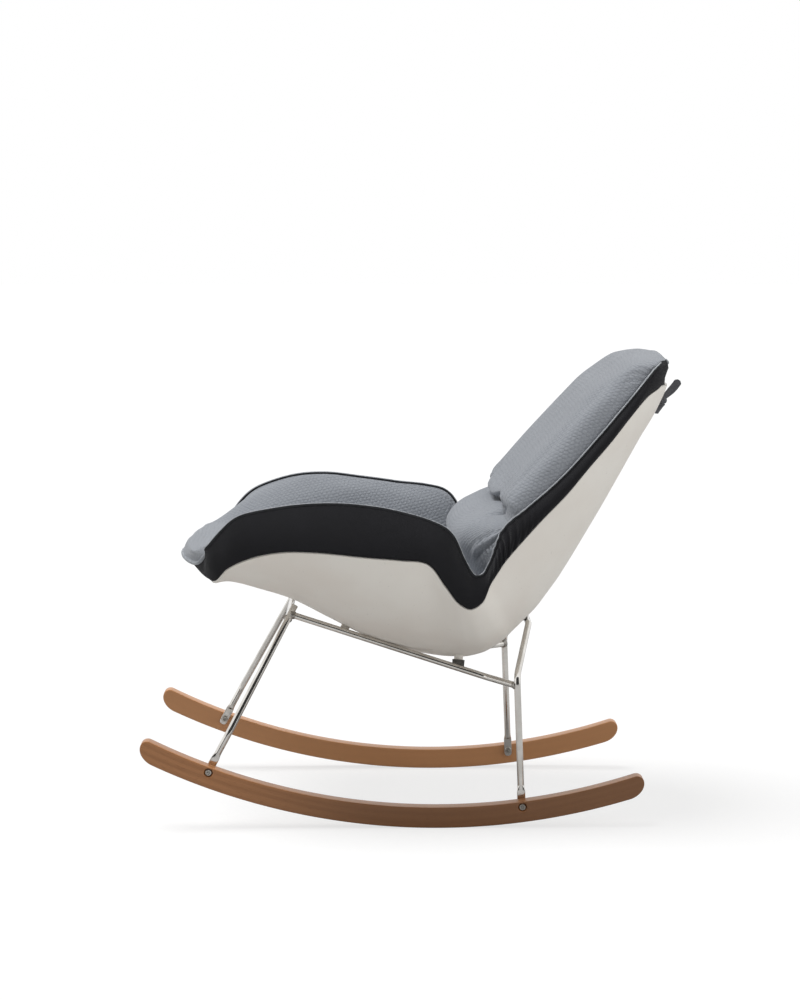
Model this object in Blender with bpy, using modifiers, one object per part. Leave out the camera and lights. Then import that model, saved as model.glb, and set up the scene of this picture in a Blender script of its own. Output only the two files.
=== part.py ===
"""Upholstered rocking chair: a moulded bucket shell with a tied-on padded cushion, carried by a bent steel
tube frame that is bolted to two wooden rockers. Metres, +Z up, the chair faces -X."""

import math

import bmesh
import bpy
import numpy as np
from mathutils import Matrix, Vector
from mathutils.bvhtree import BVHTree

# Fit between pieces that touch
GAP = 0.0003

# Rockers: two bent wooden runners, x and z from the point where they touch the floor
ROCKER_RADIUS = 1.184
ROCKER_HEIGHT = 0.037
ROCKER_WIDTH = 0.030
ROCKER_OUTER_Y = 0.265
ROCKER_FRONT_DEG = 26.1
ROCKER_REAR_DEG = 17.6
ROCKER_FACET_DEG = 1.7
ROCKER_EDGE = 0.003

# Frame tubes
TUBE_RADIUS = 0.006
PADDLE_THICKNESS = 0.005
PADDLE_HALF_WIDTH = 0.009
PADDLE_LENGTH = 0.030
BEND_RADIUS = 0.026
FRONT_BOLT_X = -0.407
REAR_BOLT_X = 0.152
BOLT_RISE = 0.0268
FRONT_LEG_TOP = (-0.256, 0.131, 0.381)
REAR_KNEE = (0.143, 0.268)
REAR_ARCH_HALF = 0.060
REAR_ARCH_Z = 0.343
RAIL_REAR_Z = 0.250
RAIL_BEND = (0.090, 0.161, 0.2545)
RAIL_FRONT_Z = 0.366
FRONT_CROSS_Z = 0.358

# Bolts that hold the legs to the rockers
COUNTERBORE = 0.0078
COUNTERBORE_DEPTH = 0.008
BOLT_HEAD = 0.0058
BOLT_HEAD_HEIGHT = 0.005
BOLT_SHANK = 0.003
SLEEVE = 0.0042
SLEEVE_HEAD = 0.0065
SLEEVE_HEAD_HEIGHT = 0.003
SLEEVE_LENGTH = 0.018

# Seat mounts: a steel tab, a moulded boss and a screw at each corner of the shell
TAB_X = (-0.163, 0.042)
TAB_LENGTH = 0.022
TAB_FLANGE = 0.026
TAB_THICKNESS = 0.003
BOSS_RADIUS = 0.008
BOSS_HEIGHT = 0.009
SCREW_HEAD = 0.0045
SCREW_HEAD_HEIGHT = 0.003
SCREW_SHANK = 0.002
BUMPER_RADIUS = 0.0065
BUMPER_HEIGHT = 0.003

# Shell and cushion
SHELL_THICKNESS = 0.0045
BACKING_THICKNESS = 0.003
COVER_THICKNESS = 0.0025
FOAM_THICKNESS = 0.035
CREST_WIDTH = 0.011
PIPING_RADIUS = 0.0045
PIPING_CLEARANCE = 0.0008
SECTION_FULLNESS = 0.74
BAND_BULGE = 0.010

# Tie that holds the cushion to the top of the shell
TIE_WIDTH = 0.016
TIE_THICKNESS = 0.0016
KNOT_RADIUS = 0.009
TIE_TAILS = (0.016, 0.036)

# Stations from the front seam to the top seam, x and z in metres:
# shell centre x, z; rim x, z, half width; cushion crest x, z, half width; padded face centre x, z
STATIONS = np.array([
    (-0.436, 0.431, -0.414, 0.459, 0.243, -0.408, 0.478, 0.266, -0.447, 0.449),
    (-0.410, 0.426, -0.401, 0.4545, 0.272, -0.389, 0.497, 0.284, -0.461, 0.473),
    (-0.370, 0.421, -0.367, 0.4705, 0.305, -0.369, 0.530, 0.295, -0.452, 0.488),
    (-0.318, 0.404, -0.327, 0.491, 0.328, -0.338, 0.558, 0.300, -0.412, 0.488),
    (-0.262, 0.384, -0.275, 0.503, 0.340, -0.282, 0.575, 0.302, -0.345, 0.480),
    (-0.195, 0.348, -0.210, 0.503, 0.345, -0.215, 0.582, 0.303, -0.255, 0.455),
    (-0.120, 0.309, -0.130, 0.495, 0.345, -0.140, 0.580, 0.303, -0.168, 0.428),
    (-0.055, 0.286, -0.065, 0.489, 0.340, -0.072, 0.569, 0.302, -0.086, 0.405),
    (0.000, 0.275, -0.020, 0.482, 0.332, -0.014, 0.552, 0.300, -0.024, 0.389),
    (0.038, 0.273, 0.012, 0.440, 0.320, 0.024, 0.527, 0.297, 0.020, 0.384),
    (0.068, 0.276, 0.037, 0.408, 0.311, 0.045, 0.482, 0.293, 0.043, 0.384),
    (0.095, 0.285, 0.0568, 0.3985, 0.306, 0.061, 0.456, 0.290, 0.064, 0.388),
    (0.122, 0.302, 0.0765, 0.409, 0.303, 0.078, 0.455, 0.288, 0.086, 0.397),
    (0.150, 0.327, 0.093, 0.444, 0.300, 0.092, 0.474, 0.286, 0.102, 0.412),
    (0.1685, 0.345, 0.104, 0.461, 0.2985, 0.100, 0.493, 0.285, 0.071, 0.447),
    (0.188, 0.365, 0.115, 0.478, 0.297, 0.106, 0.512, 0.284, 0.042, 0.490),
    (0.206, 0.389, 0.130, 0.4965, 0.2955, 0.114, 0.532, 0.283, 0.044, 0.534),
    (0.224, 0.414, 0.146, 0.5145, 0.294, 0.123, 0.551, 0.282, 0.112, 0.567),
    (0.249, 0.454, 0.1824, 0.5544, 0.290, 0.1537, 0.580, 0.280, 0.1105, 0.607),
    (0.279, 0.506, 0.2253, 0.5981, 0.285, 0.1964, 0.6165, 0.276, 0.1423, 0.6493),
    (0.3105, 0.561, 0.2641, 0.6437, 0.277, 0.236, 0.655, 0.270, 0.1946, 0.705),
    (0.343, 0.621, 0.3038, 0.6881, 0.265, 0.278, 0.701, 0.260, 0.2482, 0.759),
    (0.3755, 0.680, 0.3421, 0.7337, 0.245, 0.320, 0.747, 0.243, 0.294, 0.7995),
    (0.406, 0.732, 0.374, 0.766, 0.215, 0.358, 0.788, 0.220, 0.341, 0.8265),
    (0.425, 0.780, 0.4005, 0.7825, 0.180, 0.3875, 0.814, 0.193, 0.382, 0.833),
    (0.423, 0.817, 0.410, 0.811, 0.166, 0.4045, 0.827, 0.174, 0.4105, 0.835),
])
STATION_OF = {"lip": 1, "seat": 13, "back": 17, "top": 24}
HALVED_SPANS = (0, 1, 8, 9, 10, 17, 23)
SHELL_COLUMNS = np.array([0.0, 0.18, 0.36, 0.52, 0.66, 0.79, 0.90, 1.0])
BAND_COLUMNS = np.array([0.34, 0.68, 1.0])
ARM_SEAM_COLUMN = 5
FACE_ACROSS = np.array([0.0, 0.20, 0.38, 0.53, 0.63, 0.69, 0.75, 0.83, 0.90, 0.96, 1.0])
FACE_ACROSS_ENDS = np.array([0.0, 0.23, 0.43, 0.59, 0.70, 0.79, 0.86, 0.915, 0.95, 0.98, 1.0])
FACE_DEPTH_SEAT = np.array([1.0, 1.0, 0.99, 0.97, 0.98, 0.95, 0.66, 0.34, 0.12, 0.02, 0.0])
FACE_DEPTH_BACK = np.array([1.0, 1.0, 0.97, 0.92, 0.86, 0.80, 0.70, 0.54, 0.34, 0.12, 0.0])

RIM_COLUMN = len(SHELL_COLUMNS) - 1


def finish(name, colour, roughness, metallic=0.0):
    """A Principled material of one colour."""
    material = bpy.data.materials.new(name)
    material.use_nodes = True
    shader = material.node_tree.nodes["Principled BSDF"]
    shader.inputs["Base Color"].default_value = (*colour, 1.0)
    shader.inputs["Roughness"].default_value = roughness
    shader.inputs["Metallic"].default_value = metallic
    return material


def add(name, mesh, material):
    """Put a mesh in the scene as a named piece."""
    mesh.name = name
    piece = bpy.data.objects.new(name, mesh)
    mesh.materials.clear()
    mesh.materials.append(material)
    bpy.context.scene.collection.objects.link(piece)
    return piece


def from_bmesh(name, shape, material):
    """A piece from a bmesh, with its faces turned outwards."""
    bmesh.ops.recalc_face_normals(shape, faces=shape.faces)
    mesh = bpy.data.meshes.new(name)
    shape.to_mesh(mesh)
    shape.free()
    return add(name, mesh, material)


def carve(piece, cutter):
    """Cut one solid out of a piece and keep the cutter out of the render."""
    for collection in list(cutter.users_collection):
        collection.objects.unlink(cutter)
    cutters.objects.link(cutter)
    cutter.hide_render = True
    cutter.display_type = "WIRE"
    boolean = piece.modifiers.new("carve", "BOOLEAN")
    boolean.operation = "DIFFERENCE"
    boolean.solver = "EXACT"
    boolean.object = cutter


def frame_at(origin, axis, along):
    """A placing matrix whose Z is axis and whose X leans towards along."""
    z = Vector(axis).normalized()
    y = z.cross(Vector(along)).normalized()
    x = y.cross(z)
    turn = Matrix((x, y, z)).transposed().to_4x4()
    return Matrix.Translation(Vector(origin)) @ turn


def lathe(name, profile, place, material, sides=12):
    """Turn a profile of (radius, height) pairs, both ends of it on the axis."""
    shape = bmesh.new()
    angles = np.arange(sides) * 2 * math.pi / sides
    rings = []
    for radius, height in profile:
        count = 1 if radius == 0 else sides
        ring = [(radius * math.cos(a), radius * math.sin(a), height) for a in angles[:count]]
        rings.append([shape.verts.new(place @ Vector(p)) for p in ring])
    for low, high in zip(rings, rings[1:]):
        for i in range(sides):
            j = i + 1
            corners = (low[i % len(low)], low[j % len(low)], high[j % len(high)], high[i % len(high)])
            shape.faces.new(list(dict.fromkeys(corners)))
    return from_bmesh(name, shape, material)


def rod(name, start, end, radius, material, sides=16):
    """A plain cylinder between two points."""
    start, end = Vector(start), Vector(end)
    place = frame_at(start, end - start, (0.3, 0.9, 0.2))
    length = (end - start).length
    return lathe(name, [(0, 0), (radius, 0), (radius, length), (0, length)], place, material, sides)


def rounded(points, radius, steps=4):
    """A path with its inner corners turned into arcs."""
    points = [np.array(p, float) for p in points]
    path = [points[0]]
    for before, corner, after in zip(points, points[1:], points[2:]):
        a, b = before - corner, after - corner
        a_length, b_length = np.linalg.norm(a), np.linalg.norm(b)
        a, b = a / a_length, b / b_length
        half = math.acos(np.clip(a @ b, -1, 1)) / 2
        if half > math.radians(89):
            path.append(corner)
            continue
        cut = min(radius / math.tan(half), 0.45 * a_length, 0.45 * b_length)
        for t in np.linspace(0, 1, steps + 1):
            path.append(corner + a * cut * (1 - t) ** 2 + b * cut * t ** 2)
    path.append(points[-1])
    return np.array(path)


def sweep(name, path, material, wide, deep, side=(0, 1, 0), sides=12, loop=False):
    """Carry an ellipse along a path; wide and deep are its half sizes, deep along side."""
    path = np.array(path, float)
    count = len(path)
    wide = np.broadcast_to(wide, count)
    deep = np.broadcast_to(deep, count)
    if loop:
        along = np.roll(path, -1, 0) - np.roll(path, 1, 0)
    else:
        along = np.gradient(path, axis=0)
    along /= np.linalg.norm(along, axis=1)[:, None]
    up = np.empty_like(path)
    carried = np.array(side, float)
    for i, direction in enumerate(along):
        carried = carried - direction * (carried @ direction)
        carried /= np.linalg.norm(carried)
        up[i] = carried
    across = np.cross(up, along)
    turn = np.arange(sides) * 2 * math.pi / sides
    ring = (
        path[:, None]
        + across[:, None] * (wide[:, None] * np.cos(turn))[..., None]
        + up[:, None] * (deep[:, None] * np.sin(turn))[..., None]
    )
    shape = bmesh.new()
    rings = [[shape.verts.new(p) for p in points] for points in ring]
    pairs = list(zip(rings, rings[1:])) + ([(rings[-1], rings[0])] if loop else [])
    for low, high in pairs:
        for i in range(sides):
            j = (i + 1) % sides
            shape.faces.new((low[i], low[j], high[j], high[i]))
    if not loop:
        shape.faces.new(rings[0])
        shape.faces.new(rings[-1])
    return from_bmesh(name, shape, material)


def prism(name, outline, thickness, place, material):
    """A flat outline of (x, y) pairs given a thickness along Z."""
    shape = bmesh.new()
    low = [shape.verts.new(place @ Vector((x, y, 0))) for x, y in outline]
    high = [shape.verts.new(place @ Vector((x, y, thickness))) for x, y in outline]
    shape.faces.new(low)
    shape.faces.new(high)
    for i in range(len(outline)):
        j = (i + 1) % len(outline)
        shape.faces.new((low[i], low[j], high[j], high[i]))
    return from_bmesh(name, shape, material)


def between(name, lower, upper, material):
    """The closed solid between two matching grids of points."""
    rows, columns = lower.shape[:2]
    points = np.concatenate([lower.reshape(-1, 3), upper.reshape(-1, 3)])
    index = np.arange(rows * columns).reshape(rows, columns)
    a, b, c, d = index[:-1, :-1], index[1:, :-1], index[1:, 1:], index[:-1, 1:]
    half = np.concatenate([np.stack(t, -1).reshape(-1, 3) for t in ((a, b, c), (a, c, d))])
    top = half[:, ::-1] + rows * columns
    edge = np.concatenate([index[0], index[1:, -1], index[-1, -2::-1], index[-2:0:-1, 0]])
    after = np.roll(edge, -1)
    edge_top, after_top = edge + rows * columns, after + rows * columns
    first = np.linalg.norm(points[edge] - points[after_top], axis=1)
    second = np.linalg.norm(points[after] - points[edge_top], axis=1)
    shorter = (first < second)[:, None]
    wall = np.where(shorter, np.stack([edge, after, after_top], -1), np.stack([edge, after, edge_top], -1))
    rest = np.stack([np.where(shorter[:, 0], edge, after), after_top, edge_top], -1)
    mesh = bpy.data.meshes.new(name)
    mesh.from_pydata(points.tolist(), [], np.concatenate([half, top, wall, rest]).tolist())
    shape = bmesh.new()
    shape.from_mesh(mesh)
    bpy.data.meshes.remove(mesh)
    return from_bmesh(name, shape, material)


def stations():
    """The station rows with a smooth row added halfway along the spans that bend most."""
    step = np.linalg.norm(np.diff(STATIONS[:, 2:4], axis=0), axis=1) + 0.01
    knots = np.concatenate([[0], np.cumsum(step)])
    slope = np.gradient(STATIONS, knots, axis=0)
    rows, numbers = [], []
    for i, row in enumerate(STATIONS):
        rows.append(row)
        numbers.append(i)
        if i in HALVED_SPANS:
            rows.append((row + STATIONS[i + 1]) / 2 + (slope[i] - slope[i + 1]) * step[i] / 8)
            numbers.append(i + 0.5)
    return np.array(rows), np.array(numbers)


def mirrored(half):
    """A full grid from its +Y half, whose first column lies on the middle plane."""
    other = half[:, :0:-1] * np.array([1, -1, 1])
    return np.concatenate([other, half], axis=1)


def inward(grid):
    """Unit normals of a grid on the side where a person sits."""
    across = []
    for axis in (0, 1):
        step = np.diff(grid, axis=axis)
        step /= np.linalg.norm(step, axis=2)[..., None]
        first, last = np.take(step, [0], axis), np.take(step, [-1], axis)
        across.append(np.concatenate([first, step], axis) + np.concatenate([step, last], axis))
    normal = np.cross(*across)
    return normal / np.linalg.norm(normal, axis=2)[..., None]


def skin_grid(rows):
    """The outer skin: the shell up to its rim, then the cushion's side band up to its crest."""
    centre, rim, crest = rows[:, 0:2], rows[:, 2:5], rows[:, 5:8]
    s = SHELL_COLUMNS
    place = centre[:, None] + (s ** 2)[None, :, None] * (rim[:, None, :2] - centre[:, None])
    reach = 2 * SECTION_FULLNESS * s * (1 - s) + s ** 2
    shell = np.stack([place[..., 0], rim[:, 2:3] * reach, place[..., 1]], -1)
    t = BAND_COLUMNS[None, :, None]
    low = np.stack([rim[:, 0], rim[:, 2] - SHELL_THICKNESS, rim[:, 1]], -1)[:, None]
    high = np.stack([crest[:, 0], crest[:, 2], crest[:, 1]], -1)[:, None]
    band = low + (high - low) * t
    band[..., 1] += BAND_BULGE * 4 * (t * (1 - t))[..., 0]
    return mirrored(np.concatenate([shell, band], axis=1))


def face_grid(rows, numbers):
    """The padded face: a flat seat between two arms that turns into a crowned back."""
    crest, centre = rows[:, 5:8], rows[:, 8:10]
    front = np.clip(1 - numbers / 3, 0, 1)[:, None]
    top = np.clip((numbers - STATION_OF["top"] + 1) / 2, 0, 1)[:, None]
    back = np.maximum(np.clip((numbers - 9) / 4, 0, 1)[:, None], front)
    depth = FACE_DEPTH_SEAT * (1 - back) + FACE_DEPTH_BACK * back
    edge = crest[:, None, :2]
    place = edge + depth[..., None] * (centre[:, None] - edge)
    ends = np.maximum(front, top)
    across = FACE_ACROSS * (1 - ends) + FACE_ACROSS_ENDS * ends
    width = (crest[:, 2:3] - CREST_WIDTH) * across
    return mirrored(np.stack([place[..., 0], width, place[..., 1]], -1))


def seam_shift(low, high, open_rows, open_columns):
    """How far a pad draws back from each seam it shares with another, square to the wall of the seam."""
    shift = np.zeros_like(low)
    for axis, ends in ((0, open_rows), (1, open_columns)):
        bottom, top, move = (np.moveaxis(g, axis, 0) for g in (low, high, shift))
        for end, step, shared in ((0, 1, ends[0]), (-1, -2, ends[1])):
            if shared:
                wall = np.cross(np.gradient(top[end] + bottom[end], axis=0), top[end] - bottom[end])
                wall /= np.linalg.norm(wall, axis=1)[:, None]
                into = top[step] + bottom[step] - top[end] - bottom[end]
                move[end] += GAP * wall * np.sign((wall * into).sum(1))[:, None]
    return shift


def foam_block(low, high, open_columns, reach, layered):
    """The two faces of a foam layer, its outer edges drawn in from the crest to clear the side band."""
    low, high = low.copy(), high.copy()
    for shared, order in zip(open_columns, (1, -1)):
        if not shared:
            bottom, top = low[:, ::order], high[:, ::order]
            root = bottom[:, 1 + reach].copy()
            for i in range(reach):
                bottom[:, 1 + i] = root + 0.8 * (1 - i / reach) * (top[:, 1] - root)
    if layered:
        depth = np.linalg.norm(low - high, axis=2)[..., None]
        low = high + (low - high) * np.minimum(1, FOAM_THICKNESS / depth)
    keep = slice(None if open_columns[0] else 1, None if open_columns[1] else -1)
    return low[:, keep], high[:, keep]


for old in list(bpy.data.objects):
    bpy.data.objects.remove(old)
cutters = bpy.data.collections.new("Cutters")
bpy.context.scene.collection.children.link(cutters)

wood = finish("beech", (0.33, 0.17, 0.075), 0.45)
chrome = finish("chrome", (0.78, 0.78, 0.78), 0.08, 1.0)
steel = finish("zinc_steel", (0.45, 0.45, 0.44), 0.35, 1.0)
plastic = finish("shell_plastic", (0.66, 0.62, 0.56), 0.42)
rubber = finish("rubber", (0.03, 0.03, 0.03), 0.7)
dark = finish("dark_fabric", (0.02, 0.02, 0.023), 0.9)
light = finish("quilted_fabric", (0.30, 0.33, 0.36), 0.95)
foam = finish("foam", (0.72, 0.68, 0.55), 1.0)
ribbon = finish("tie_ribbon", (0.06, 0.065, 0.075), 0.8)

# Shell and cushion surfaces
rows, numbers = stations()
line = {name: int(np.argmin(abs(numbers - value))) for name, value in STATION_OF.items()}
last_row = len(rows) - 1
skin = skin_grid(rows)
skin_in = inward(skin)
middle = skin.shape[1] // 2
rim_span = (middle - RIM_COLUMN, middle + RIM_COLUMN)
shell_rows = (line["lip"], line["top"])
outer = skin[shell_rows[0]:shell_rows[1] + 1, rim_span[0]:rim_span[1] + 1]
outer_in = inward(outer)
shell = between("seat_shell", outer, outer + SHELL_THICKNESS * outer_in, plastic)
backing = skin.copy()
backing_in = skin_in.copy()
sub = (slice(shell_rows[0], shell_rows[1] + 1), slice(rim_span[0], rim_span[1] + 1))
backing_in[sub] = outer_in
backing[sub] += (SHELL_THICKNESS + GAP) * outer_in
between("cushion_backing", backing, backing + BACKING_THICKNESS * backing_in, dark)

face = face_grid(rows, numbers)
face_in = inward(face)
under = backing + (BACKING_THICKNESS + GAP) * backing_in
over = face - (COVER_THICKNESS + GAP) * face_in
inside = face - COVER_THICKNESS * face_in
arm_columns = (middle + ARM_SEAM_COLUMN, face.shape[1] - 1)
far_columns = (0, middle - ARM_SEAM_COLUMN)
between_arms = (far_columns[1], arm_columns[0])
whole = (0, face.shape[1] - 1)
PADS = (
    ("seat", (0, line["seat"]), between_arms, (False, True), (True, True), slice(1, None), 0),
    ("lumbar", (line["seat"], line["back"]), whole, (True, True), (False, False), slice(None), 4),
    ("back", (line["back"], last_row), whole, (True, False), (False, False), slice(-1), 4),
    ("arm_left", (0, line["seat"]), far_columns, (False, True), (False, True), slice(4, -1), 2),
    ("arm_right", (0, line["seat"]), arm_columns, (False, True), (True, False), slice(4, -1), 2),
)
for name, pad_rows, pad_columns, open_rows, open_columns, foam_rows, reach in PADS:
    cut = (slice(pad_rows[0], pad_rows[1] + 1), slice(pad_columns[0], pad_columns[1] + 1))
    shift = seam_shift(under[cut], face[cut], open_rows, open_columns)
    between(name + "_cover", inside[cut] + shift, face[cut] + shift, light)
    low, high = foam_block(under[cut] + shift, over[cut] + shift, open_columns, reach, name != "lumbar")
    between(name + "_foam", low[foam_rows], high[foam_rows], foam)


def joined_tree(pieces):
    """One search tree over the faces of several pieces."""
    points, faces = [], []
    for piece in pieces:
        start = len(points)
        points += [v.co.copy() for v in piece.data.vertices]
        faces += [[start + i for i in f.vertices] for f in piece.data.polygons]
    return BVHTree.FromPolygons(points, faces)


soft_tree = joined_tree([o for o in bpy.data.objects if o.name.endswith(("_cover", "_backing", "_foam"))])


def crest_path(line):
    """The line of the piping, laid on the crest so that it just clears the backing and the cover."""
    out = face_in[line] - skin_in[line]
    out /= np.linalg.norm(out, axis=1)[:, None]
    lift = abs(((face[line] - skin[line]) * out).sum(1)) / 2 + PIPING_RADIUS + 3 * GAP
    middle_line = (skin[line] + face[line]) / 2
    for _ in range(6):
        path = middle_line + out * lift[:, None]
        clear = np.array([soft_tree.find_nearest(Vector(p))[3] for p in path])
        lift = np.maximum(lift - clear + PIPING_RADIUS + PIPING_CLEARANCE, PIPING_RADIUS * 0.3)
    path = middle_line + out * lift[:, None]
    path[0] += 0.8 * (path[1] - path[0])
    path[-1] += 0.8 * (path[-2] - path[-1])
    return path


arm_rows = slice(0, line["seat"] + 1)
back_rows = slice(line["seat"], last_row + 1)
for name, part, column in (
    ("arm_left_piping", arm_rows, 0),
    ("arm_right_piping", arm_rows, -1),
    ("back_left_piping", back_rows, 0),
    ("back_right_piping", back_rows, -1),
):
    path = crest_path((part, column))
    path = path[:-1] if "arm" in name else path
    sweep(name, path, light, PIPING_RADIUS, PIPING_RADIUS, side=(0, 1, 0.2), sides=8)
for name, row in (("front_piping", 0), ("top_piping", last_row)):
    path = crest_path(row)[2:-2]
    sweep(name, path, light, PIPING_RADIUS, PIPING_RADIUS, side=(1, 0, 0.3), sides=8)

depsgraph = bpy.context.evaluated_depsgraph_get()
shell_tree = BVHTree.FromObject(shell, depsgraph)
clearance = between("shell_clearance", outer - GAP * outer_in, outer + SHELL_THICKNESS * outer_in, plastic)

# Rockers
inner_y = ROCKER_OUTER_Y - ROCKER_WIDTH
count_front = int(ROCKER_FRONT_DEG / ROCKER_FACET_DEG + 0.5)
count_rear = int(ROCKER_REAR_DEG / ROCKER_FACET_DEG + 0.5)
running = [(i + 0.5) * ROCKER_FACET_DEG for i in range(-count_front, count_rear)]
running = np.radians([-ROCKER_FRONT_DEG, *running, ROCKER_REAR_DEG])
running_radius = ROCKER_RADIUS / math.cos(math.radians(ROCKER_FACET_DEG / 2))
lower = [(running_radius * math.sin(a), ROCKER_RADIUS - running_radius * math.cos(a)) for a in running]
top_radius = ROCKER_RADIUS - ROCKER_HEIGHT
upper = [(top_radius * math.sin(a), ROCKER_RADIUS - top_radius * math.cos(a)) for a in running[::-2]]
upper[-1] = (top_radius * math.sin(running[0]), ROCKER_RADIUS - top_radius * math.cos(running[0]))


def on_rocker(x):
    """The point of a rocker's side face at x, BOLT_RISE above its running edge."""
    return x, ROCKER_RADIUS - math.sqrt((ROCKER_RADIUS - BOLT_RISE) ** 2 - x ** 2)


FRONT_BOLT = on_rocker(FRONT_BOLT_X)
REAR_BOLT = on_rocker(REAR_BOLT_X)


def tip(angle, sign):
    """The half-round end of a rocker, from its running edge to its top edge."""
    radius = ROCKER_RADIUS - ROCKER_HEIGHT / 2
    centre = np.array((radius * math.sin(angle), ROCKER_RADIUS - radius * math.cos(angle)))
    out = np.array((math.cos(angle), math.sin(angle))) * sign
    down = np.array((math.sin(angle), -math.cos(angle)))
    turns = np.radians(np.arange(22.5, 170, 22.5))
    return [tuple(centre + ROCKER_HEIGHT / 2 * (down * math.cos(t) + out * math.sin(t))) for t in turns]


outline = [*lower, *tip(running[-1], 1), *upper, *tip(running[0], -1)[::-1]]
legs = {}
for side, sign in (("left", -1), ("right", 1)):
    near_y = -ROCKER_OUTER_Y if sign < 0 else inner_y
    stand = Matrix(((1, 0, 0, 0), (0, 0, 1, near_y), (0, 1, 0, 0), (0, 0, 0, 1)))
    rocker = prism("rocker_" + side, outline, ROCKER_WIDTH, stand, wood)
    bevel = rocker.modifiers.new("edges", "BEVEL")
    bevel.width = ROCKER_EDGE
    bevel.segments = 2
    bevel.limit_method = "ANGLE"
    bevel.angle_limit = math.radians(40)

    # Legs: a flattened end against the rocker, then round tube
    paddle_y = sign * (inner_y - GAP - PADDLE_THICKNESS / 2)
    tube_y = sign * (inner_y - 2 * GAP - TUBE_RADIUS)
    front_top = np.array((FRONT_LEG_TOP[0], sign * FRONT_LEG_TOP[1], FRONT_LEG_TOP[2]))
    hit = shell_tree.ray_cast(Vector((0.5, 0, REAR_ARCH_Z)), Vector((-1, 0, 0)))
    arch = np.array(hit[0]) + np.array(hit[1]) * (TUBE_RADIUS + BUMPER_HEIGHT + 2 * GAP)
    arch[1] = sign * REAR_ARCH_HALF
    arch_end = arch * (1, 0.55, 1)
    knee = np.array((REAR_KNEE[0], tube_y, REAR_KNEE[1]))
    for place, bolt, further in (
        ("front", FRONT_BOLT, [front_top]),
        ("rear", REAR_BOLT, [knee, arch, arch_end]),
    ):
        foot = np.array((bolt[0], paddle_y, bolt[1]))
        aim = further[0] - foot
        aim[1] = 0
        aim /= np.linalg.norm(aim)
        half = PADDLE_HALF_WIDTH
        ends = half * np.array((-0.97, -0.75, -0.4, 0.0))
        flat = [foot + aim * d for d in ends] + [foot + aim * (PADDLE_LENGTH - half)]
        start = foot + aim * (PADDLE_LENGTH + 2 * half)
        start[1] = tube_y
        bend = start + aim * BEND_RADIUS
        run = rounded([start, bend, *further], BEND_RADIUS)
        path = np.concatenate([flat, run])
        wide = np.full(len(path), TUBE_RADIUS)
        wide[:4] = np.sqrt(np.maximum(half ** 2 - ends ** 2, 0))
        wide[4] = half
        deep = np.full(len(path), TUBE_RADIUS)
        deep[:5] = PADDLE_THICKNESS / 2
        name = place + "_leg_" + side
        legs[name] = sweep(name, path, chrome, wide, deep)
        legs["clear_" + name] = sweep("clear_" + name, path[4:], chrome, TUBE_RADIUS + GAP, TUBE_RADIUS + GAP)

        # Bolt from outside, sleeve nut from inside
        out_y = sign * ROCKER_OUTER_Y
        face_y = paddle_y - sign * (PADDLE_THICKNESS / 2 + GAP)
        outside = frame_at((bolt[0], out_y, bolt[1]), (0, -sign, 0), (0, 0, 1))
        bore = SLEEVE + GAP
        hole = [(0, -0.01), (COUNTERBORE, -0.01), (COUNTERBORE, COUNTERBORE_DEPTH), (bore, COUNTERBORE_DEPTH),
                (bore, ROCKER_WIDTH + 0.03), (0, ROCKER_WIDTH + 0.03)]
        drill = lathe("drill_" + name, hole, outside, steel, 16)
        carve(rocker, drill)
        carve(legs[name], drill)
        seat_y = out_y - sign * (COUNTERBORE_DEPTH - GAP)
        into = frame_at((bolt[0], seat_y, bolt[1]), (0, -sign, 0), (0, 0, 1))
        reach = ROCKER_WIDTH - COUNTERBORE_DEPTH
        screw = lathe("leg_bolt_" + place + "_" + side, [
            (0, -BOLT_HEAD_HEIGHT), (BOLT_HEAD * 0.9, -BOLT_HEAD_HEIGHT),
            (BOLT_HEAD, -BOLT_HEAD_HEIGHT * 0.85), (BOLT_HEAD, 0),
            (BOLT_SHANK, 0), (BOLT_SHANK, reach), (0, reach)], into, steel)
        socket = rod("socket_" + name, into @ Vector((0, 0, -BOLT_HEAD_HEIGHT - 0.002)),
                     into @ Vector((0, 0, -BOLT_HEAD_HEIGHT * 0.4)), BOLT_HEAD * 0.55, steel, 6)
        carve(screw, socket)
        back_in = frame_at((bolt[0], face_y, bolt[1]), (0, sign, 0), (0, 0, 1))
        lathe("sleeve_nut_" + place + "_" + side, [
            (0, -SLEEVE_HEAD_HEIGHT * 0.45), (SLEEVE_HEAD * 0.42, -SLEEVE_HEAD_HEIGHT * 0.45),
            (SLEEVE_HEAD * 0.42, -SLEEVE_HEAD_HEIGHT), (SLEEVE_HEAD * 0.86, -SLEEVE_HEAD_HEIGHT),
            (SLEEVE_HEAD, -SLEEVE_HEAD_HEIGHT * 0.6), (SLEEVE_HEAD, 0), (SLEEVE, 0), (SLEEVE, SLEEVE_LENGTH),
            (BOLT_SHANK + GAP, SLEEVE_LENGTH), (BOLT_SHANK + GAP, 0.001), (0, 0.001)], back_in, steel)

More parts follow.
